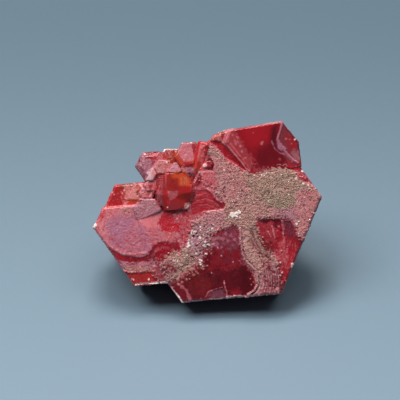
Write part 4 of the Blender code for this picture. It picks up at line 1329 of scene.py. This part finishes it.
def add_crust(skin):
    """Lumps of the crust and the pits between them, where the dark red shows."""
    thick = smooth(0.15, 0.7, skin.crust)
    lump = rough(skin.points * LUMP_STRETCH, LUMP, 4, 4)
    pit = thick * smooth(0.3, 0.62, lump)
    # Painted shade in the pits of the crust, over the dark red that shows there
    skin.cover(0.5 * pit, grime=0.3, dark=0.85, crust=0.45, olive=0.6)
    skin.tone += 0.35 * (skin.level - 0.5) * thick
    skin.olive += 0.3 * (chance(skin.middle, 4) - 0.5) * thick
    skin.lilac += 0.3 * (chance(skin.middle, 5) - 0.5) * thick
    skin.rise += thick * (0.03 * (skin.level - 0.5) - PIT_DEPTH * pit)
    skin.grain += thick * (1 - pit)


def add_chips(skin, crystal):
    """Small chips along the rims of the outer end face, pale on all but the orange crystals. The
    pale is partly fresh breaks and partly painted glints along the rims.
    """
    size = min(1, min(crystal.sides) / FULL_SIZE)
    edge = smooth(0.35 * size, 0.05 * size, skin.inset) * smooth(-1.0, -0.1, skin.own[:, 2])
    broken = smooth(0.05, 0.5, rough(skin.points, CHIP, 5, 3)) * edge
    skin.rise -= CHIP_DEPTH * size * broken * min(1, crystal.rim / RIM)
    # Pale along the rims: fresh breaks, and painted glints where the rims catch the light
    white_break_and_glint = smooth(0.25, 0.7, rough(skin.points, FRESH_BREAK, 6, 2)) * edge
    whole = 1 - skin.orange
    skin.cover(0.5 * size * np.maximum(0.4 * broken, white_break_and_glint) * whole, milky=0.9, pale=0.5)


# %% Sides and back
# Growth layers are much longer round the crystal than they are thick
LAYER_STRETCH = np.array((0.35, 0.35, 2.6))
CRUST_PATCH = 2.6
# The crust thickens between these distances behind the large face
BACK_STARTS = -3.0
BACK_ENDS = -7.5


def add_sides(skin):
    """Growth layers on the side faces, and dull crust towards the back."""
    side = 1 - skin.front
    layer = rough(skin.own * LAYER_STRETCH, 1.0, 7, 4)
    back = smooth(BACK_STARTS, BACK_ENDS, skin.points[:, 2])
    patchy = smooth(0.0, 0.5, rough(skin.points, CRUST_PATCH, 8, 4) + 0.5 * back - 0.25)
    skin.cover(side, milky=0.35, lilac=0.35, dark=0.45, crust=0.0, olive=0.4)
    skin.milky += side * 0.35 * smooth(-0.1, 0.5, layer)
    skin.dark += side * 0.3 * smooth(0.1, -0.5, layer)
    skin.rise += side * (0.05 * smooth(0, 0.15, layer) + 0.03 * skin.wobble)
    skin.cover(side * patchy * 0.85, crust=0.9, milky=1, lilac=0.4)


# %% [markdown]
# ## Grains
#
# The crust on the real specimen is a layer of crystals too small to see one by one. The noise
# above gives it lumps, and a Geometry Nodes tree sows the crystals: short six-sided prisms, each
# with its own turn, lean, size and shade. They lie closely where the grain channel is high, so
# they thin out at the border of the crust, and they carry the channels of the place that they
# lie on.

# %% The tree that sows grains
SOWING = {
    "Bed": "NodeSocketGeometry",
    "Density": "NodeSocketString",
    "Spacing": "NodeSocketFloat",
    "Radius": "NodeSocketFloat",
    "White share": "NodeSocketFloat",
    "Seed": "NodeSocketInt",
    "Material": "NodeSocketMaterial",
}
# How many points are tried in a square whose sides are the spacing
TRIES = 1.6
# The length of a prism in radii, how far it leans in radians, its sizes and its shades
LENGTH = 1.6
LEAN = 0.7
SIZES = (0.6, 1.3)
SHADES = (0.1, 0.95)
# How white the white grains are, which are painted glints of grains that catch the light
GLINT_WHITENESS = 0.8


class GrainTree(Nodes):
    """Sows small prisms over a mesh, as closely as one of its channels says."""

    def __init__(self):
        super().__init__(bpy.data.node_groups.new("sown_grains", "GeometryNodeTree"))
        face = self.tree.interface
        self.sockets = {
            name: face.new_socket(name, in_out="INPUT", socket_type=kind).identifier
            for name, kind in SOWING.items()
        }
        face.new_socket("Grains", in_out="OUTPUT", socket_type="NodeSocketGeometry")
        self.start = self.node("NodeGroupInput", {}, {}, "Bed")
        self.node("NodeGroupOutput", {}, {0: self.prisms_on(self.points())})

    def random(self, low, high, salt):
        """A random number for each point, or three where the limits are triples."""
        kind, first, output = ("FLOAT", 2, 1) if np.isscalar(low) else ("FLOAT_VECTOR", 0, 0)
        inputs = {first: low, first + 1: high, "Seed": self.start.other("Seed") + salt}
        return self.node("FunctionNodeRandomValue", {"data_type": kind}, inputs, output)

    def stored(self, name):
        """A channel of the mesh that the points lie on."""
        return self.node("GeometryNodeInputNamedAttribute", {"data_type": "FLOAT"}, {"Name": name})

    def points(self):
        spacing = self.start.other("Spacing")
        packing = spacing.maths("POWER", spacing, -2.0) * TRIES
        return self.node("GeometryNodeDistributePointsOnFaces", {"distribute_method": "POISSON"}, {
            "Mesh": self.start,
            "Distance Min": spacing,
            "Density Max": packing,
            "Density Factor": self.stored(self.start.other("Density")),
            "Seed": self.start.other("Seed"),
        })

    def prisms_on(self, points):
        """Each point becomes a prism with its own shade, and some are white, as painted glints."""
        white = self.random(0.0, 1.0, 2) > 1 - self.start.other("White share")
        channels = {
            "tone": self.random(*SHADES, 1), "pale": self.stored("pale") + white * GLINT_WHITENESS
        }
        grain = points
        for name, value in channels.items():
            grain = self.node(
                "GeometryNodeStoreNamedAttribute", {"data_type": "FLOAT", "domain": "POINT"},
                {"Geometry": grain, "Name": name, "Value": value},
            )
        radius = self.start.other("Radius")
        prism = self.node("GeometryNodeMeshCylinder", {"fill_type": "TRIANGLE_FAN"}, {
            "Vertices": 6, "Side Segments": 1, "Fill Segments": 1, "Radius": radius,
            "Depth": radius * LENGTH,
        })
        lean = self.random((-LEAN, -LEAN, 0.0), (LEAN, LEAN, 6.28), 3)
        turn = self.node("FunctionNodeRotateRotation", {"rotation_space": "LOCAL"}, {
            "Rotation": points.other("Rotation"),
            "Rotate By": self.node("FunctionNodeEulerToRotation", {}, {"Euler": lean}),
        })
        prisms = self.node("GeometryNodeInstanceOnPoints", {}, {
            "Points": grain, "Instance": prism, "Rotation": turn,
            "Scale": self.random(*((size, size, size) for size in SIZES), 4),
        })
        flat = self.node("GeometryNodeSetShadeSmooth", {}, {"Geometry": prisms, 2: False})
        whole = self.node("GeometryNodeRealizeInstances", {}, {"Geometry": flat})
        material = self.start.other("Material")
        return self.node("GeometryNodeSetMaterial", {}, {"Geometry": whole, "Material": material})


grain_tree = GrainTree()


def sow_grains(bed, name, density, spacing, radius, white, seed):
    """The grains that the tree sows on a piece, as a plain mesh of their own."""
    modifier = bed.modifiers.new("sowing", "NODES")
    modifier.node_group = grain_tree.tree
    values = {
        "Density": density, "Spacing": spacing * MM, "Radius": radius * MM,
        "White share": white, "Seed": seed, "Material": bed.data.materials[0],
    }
    for key, value in values.items():
        modifier[grain_tree.sockets[key]] = value
    evaluated = bed.evaluated_get(bpy.context.evaluated_depsgraph_get())
    mesh = bpy.data.meshes.new_from_object(evaluated)
    bed.modifiers.remove(modifier)
    mesh.name = name
    grains_piece = bpy.data.objects.new(name, mesh)
    bpy.context.scene.collection.objects.link(grains_piece)
    mesh.calc_loop_triangles()
    print(f"{name}: {len(mesh.loop_triangles)} triangles, seed {seed}")
    return grains_piece


# %% [markdown]
# ## Building a crystal
#
# A crystal starts as the plain solid, gets its fine mesh, is painted layer by layer, and its
# points then move out or in by their rise. Crust faces stay flat, so that they glitter, and
# clear faces are smooth.

# %% Building a crystal
def finish_mesh(mesh, skin):
    """Moves the points by their rise, stores the channels, and puts the mesh in the world."""
    moved = skin.points + skin.normals * skin.rise[:, None]
    placed = moved @ np.array(FACE)[:3, :3].T + np.array(FACE)[:3, 3]
    placed[:, 2] = np.maximum(placed[:, 2], 0)
    mesh.vertices.foreach_set("co", placed.ravel())
    for channel in CHANNELS[:-1]:
        attribute = mesh.attributes.new(channel, "FLOAT", "POINT")
        attribute.data.foreach_set("value", np.clip(getattr(skin, channel), 0, 1))
    corners = np.empty(len(mesh.polygons) * 3, np.int32)
    mesh.polygons.foreach_get("vertices", corners)
    rough_there = np.maximum(skin.crust, skin.pale)[corners.reshape(-1, 3)].mean(1)
    mesh.polygons.foreach_set("use_smooth", rough_there < 0.5)
    mesh.update()


def build_crystal(crystal, fine, coarse, start, front, finish):
    """One finished crystal: `start` is what covers it before the layers are painted."""
    solid = crystal_solid(crystal)
    seed = sum(ord(letter) for letter in crystal.name)
    random = np.random.default_rng(seed)
    mesh = fine_mesh(crystal.name, solid, spacing_for(fine, coarse), random)
    solid.free()
    skin = Skin(mesh, crystal, start, front)
    add_sides(skin)
    skin.cover(skin.front, **start)
    for layer in LAYERS:
        layer.paint(skin)
    add_clouds(skin)
    add_gaps(skin)
    add_crust(skin)
    add_chips(skin, crystal)
    finish_mesh(mesh, skin)
    mesh.materials.append(finish)
    piece = bpy.data.objects.new(crystal.name, mesh)
    bpy.context.scene.collection.objects.link(piece)
    print(f"{crystal.name}: {len(mesh.polygons)} triangles")
    return piece


# %% [markdown]
# ## The crystal finish
#
# One material serves every crystal. It starts from the clear red, lays the film, whose lilac is
# partly a painted sheen, and then the crust over it, and ends with crushed white edges and
# painted highlights, then painted shade in hollows. Fine noise breaks up each border and mottles
# each colour, so that nothing looks painted. Clear faces are glassy, the film is duller and the
# crust is dull.

# %% The crystal finish
BRIGHT_RED = colour(172, 24, 38)
ORANGE_RED = colour(196, 78, 36)
MAROON = colour(58, 7, 17)
CORAL_FILM = colour(206, 111, 116)
# The lilac of the film is partly a painted bluish sheen of the room's light
LILAC_FILM_AND_SHEEN = colour(168, 107, 130)
PINKISH_TAN = colour(190, 138, 128)
OLIVE_TAN = colour(152, 126, 106)
# Crushed white, also the colour of painted highlights and glints
CRUSHED_WHITE_AND_HIGHLIGHT = colour(238, 216, 208)
# The dark brown of painted shade in pits, cracks and grooves
HOLLOW_SHADE_BROWN = colour(60, 30, 32)
BUMP_DEPTH = 0.06 * MM


def crystal_finish(name, **glow):
    """The finish that reads the channels. Glow is how light seeps through the crystal."""
    look = Finish(name)
    place = look.node("ShaderNodeTexCoord", {}, {}, "Object")
    mm = look.node("ShaderNodeVectorMath", {"operation": "SCALE"}, {0: place, "Scale": 1 / MM}, 0)

    def speckle(scale, detail):
        """Noise about 0, mostly between -1 and 1."""
        inputs = {"Vector": mm, "Scale": scale, "Detail": detail, "Roughness": 0.6}
        return (look.node("ShaderNodeTexNoise", {}, inputs, "Fac") - 0.5) * 5

    mottle = look.attribute("mottle")
    fine = speckle(5.5, 3.0) * mottle
    middling = speckle(1.9, 3.0) * mottle
    broad = speckle(0.6, 2.0) * mottle
    dark = look.attribute("dark") + fine * 0.12 + middling * 0.12
    milky = (look.attribute("milky") + fine * 0.25 + middling * 0.16).steps_between(0, 1)
    lilac = look.attribute("lilac") + middling * 0.2 + fine * 0.12
    crust = (look.attribute("crust") + fine * 0.3 + middling * 0.12).steps_between(0.1, 0.9)
    olive = look.attribute("olive") + middling * 0.2 + fine * 0.15
    pale = (look.attribute("pale") + fine * 0.1).steps_between(0.2, 0.8)
    grime = look.attribute("grime")

    bright = look.mix(look.attribute("orange"), BRIGHT_RED, ORANGE_RED)
    red = look.mix(dark.steps_between(0, 1), bright, MAROON)
    film = look.mix(lilac.steps_between(0, 1), CORAL_FILM, LILAC_FILM_AND_SHEEN)
    tan = look.mix(olive.steps_between(0, 1), PINKISH_TAN, OLIVE_TAN)
    skin = look.mix(milky * 0.9, red, film)
    skin = look.mix(crust * 0.95, skin, tan)
    # Crushed white edges and painted highlights
    skin = look.mix(pale, skin, CRUSHED_WHITE_AND_HIGHLIGHT)
    # Painted shade in hollows
    skin = look.mix(grime, skin, HOLLOW_SHADE_BROWN)
    tone = 0.65 + look.attribute("tone") * 0.7 + fine * 0.16 + middling * 0.06 + broad * 0.06
    grey = look.node("ShaderNodeCombineColor", {}, {0: tone, 1: tone, 2: tone})
    skin = look.mix(1.0, skin, grey, "MULTIPLY")
    gloss = 0.12 + milky * 0.25 + mottle * 0.05
    roughness = gloss + crust * (0.8 - gloss)
    height = speckle(9.0, 3.0) * (0.03 + mottle * 0.12 + crust * 0.3)
    relief = {"Strength": 0.5, "Distance": BUMP_DEPTH, "Height": height}
    bump = look.node("ShaderNodeBump", {}, relief)
    look.feed(look.shader, {"Base Color": skin, "Roughness": roughness, "Normal": bump, "IOR": 1.5})
    look.feed(look.shader, glow)
    return look.material


GLOW = {
    "Subsurface Weight": 0.12, "Subsurface Radius": (1.0, 0.3, 0.25), "Subsurface Scale": 0.0004
}
CLEAR_GLOW = {
    "Subsurface Weight": 0.7, "Subsurface Radius": (1.0, 0.25, 0.15), "Subsurface Scale": 0.0012
}
vanadinite = crystal_finish("vanadinite", **GLOW)
clear_vanadinite = crystal_finish("clear_vanadinite", **CLEAR_GLOW)

# %% Every crystal
PLATE_LOOKS = {
    "right_plate": {"milky": 0.55, "lilac": 0.4, "dark": 0.35, "mottle": 0.8},
    "left_plate": {"milky": 0.75, "lilac": 0.35, "dark": 0.2, "mottle": 0.8},
    "left_ledge": {"milky": 0.4, "lilac": 0.1, "dark": 0.25, "orange": 0.2, "mottle": 0.8},
    "top_plate": {"milky": 0.06, "lilac": 0.3, "dark": 0.4, "mottle": 0.2},
}
COMMON_LOOK = {"milky": 0.75, "lilac": 0.3, "dark": 0.2, "mottle": 1}
SMALL_LOOKS = {
    "violet_crystal": {"milky": 0.7, "lilac": 0.8, "dark": 0.4},
    "lilac_crystal": {"milky": 1, "lilac": 0.6, "mottle": 0.5},
    "crown_crystal": {"milky": 0.3, "orange": 0.5, "dark": 0.3},
    "rose_crystal": {"milky": 0.3, "orange": 0.3, "dark": 0.3, "mottle": 0.5},
    "scarlet_prism": {"milky": 0.1, "orange": 0.2, "dark": 0.1, "mottle": 0.4},
    "amber_crystal": {"milky": 0.1, "orange": 0.2, "dark": 0.3, "mottle": 0.4},
    "wine_stud": {"milky": 0.12, "dark": 0.6, "mottle": 0.5},
    "pale_grain": {"milky": 1, "pale": 0.4, "crust": 0.3},
    "bright_grain": {"milky": 1, "lilac": 0, "pale": 0.15},
}
BACK_LOOK = {"milky": 0.4, "lilac": 0.3, "dark": 0.5, "crust": 0.2, "olive": 0.5, "mottle": 1}
USUAL = {"tone": 0.5}
FINE, SMALL, COARSE, BACK = 0.068, 0.07, 0.2, 0.24
# The face of a wide plate starts where its rim faces do, and a small crystal's at its sides
PLATE_FRONT = (0.15, 0.6)
SMALL_FRONT = (-0.15, 0.2)

plates = {
    crystal.name: build_crystal(
        crystal, FINE, COARSE, USUAL | PLATE_LOOKS[crystal.name], PLATE_FRONT, vanadinite
    )
    for crystal in PLATES
}
small = {
    crystal.name: build_crystal(
        crystal, SMALL, COARSE, USUAL | COMMON_LOOK | SMALL_LOOKS.get(crystal.name, {}),
        SMALL_FRONT, clear_vanadinite if crystal.name == "amber_crystal" else vanadinite,
    )
    for crystal in SMALL_CRYSTALS
}
backs = {
    crystal.name: build_crystal(crystal, BACK, BACK, USUAL | BACK_LOOK, PLATE_FRONT, vanadinite)
    for crystal in BACK_CRYSTALS
}

# %% Every grain
grains_of_the_crust = sow_grains(
    plates["right_plate"], "crust_grains", density="grain", spacing=0.15, radius=0.07,
    white=0.035, seed=3,
)
grains_of_the_film = sow_grains(
    plates["left_plate"], "film_grains", density="grain", spacing=0.15, radius=0.06,
    white=0.05, seed=4,
)
crystals = [*plates.values(), *small.values(), *backs.values()]

for piece in [*crystals, grains_of_the_crust, grains_of_the_film]:
    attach(piece, "root")
    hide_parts("crystal_cluster")

# %% [markdown]
# ## The studio
#
# The floor is plain and pale, and its colour is painted lighter near the camera and darker further
# off, a painted reflection of the light behind the specimen. A soft light stands above and behind
# the specimen, which edges its rims with white and leaves the shade in front of its foot. A
# second one comes from the left and casts the shade to the right, and a weaker one from the
# right opens that shade. Little shines from the camera's side, where the glassy face would
# mirror it.

# %% Floor
FLOOR_SIZE = 4


def floor_finish():
    look = Finish("floor")
    place = look.node("ShaderNodeTexCoord", {}, {}, "Object")
    away = look.node("ShaderNodeSeparateXYZ", {}, {"Vector": place}, "Y")
    speck = look.node("ShaderNodeTexNoise", {}, {"Vector": place, "Scale": 900.0, "Detail": 3.0}, 0)
    # Painted reflection: lighter near the camera, darker further off
    share = (away + (speck - 0.5) * 0.006).steps_between(-0.03, 0.06)
    shade = look.mix(share, colour(110, 131, 145), colour(82, 101, 113))
    look.feed(look.shader, {"Base Color": shade, "Roughness": 0.5})
    return look.material


def add_floor():
    bpy.ops.mesh.primitive_plane_add(size=FLOOR_SIZE)
    floor = bpy.context.object
    floor.name = "floor"
    floor.data.materials.append(floor_finish())


add_floor()

# %% Lights
SPECIMEN_HEIGHT = 0.02


def add_softbox(name, azimuth, elevation, away, size, watts):
    """A square light that faces the specimen. Azimuth 0 is the viewer's side, 90 the right."""
    data = bpy.data.lights.new(name, "AREA")
    data.shape = "SQUARE"
    data.size = size
    data.energy = watts
    turn = math.radians(azimuth)
    rise = math.radians(elevation)
    direction = Vector(
        (math.sin(turn) * math.cos(rise), -math.cos(turn) * math.cos(rise), math.sin(rise))
    )
    light = bpy.data.objects.new(name, data)
    light.location = direction * away + Vector((0, 0, SPECIMEN_HEIGHT / 2))
    light.rotation_euler = direction.to_track_quat("Z", "Y").to_euler()
    bpy.context.scene.collection.objects.link(light)


add_softbox("back", azimuth=-172, elevation=69, away=0.5, size=0.2, watts=1.7)
add_softbox("left", azimuth=-92, elevation=63, away=0.5, size=0.28, watts=2.4)
add_softbox("right", azimuth=92, elevation=68, away=0.5, size=0.28, watts=0.75)

# %% What shines from all around
ROOM_BLUE = (0.62, 0.72, 0.8, 1)
ROOM_STRENGTH = 0.12

world = bpy.data.worlds.new("studio")
world.use_nodes = True
background = world.node_tree.nodes["Background"]
background.inputs["Color"].default_value = ROOM_BLUE
background.inputs["Strength"].default_value = ROOM_STRENGTH
bpy.context.scene.world = world
bpy.context.scene.view_settings.view_transform = "Standard"
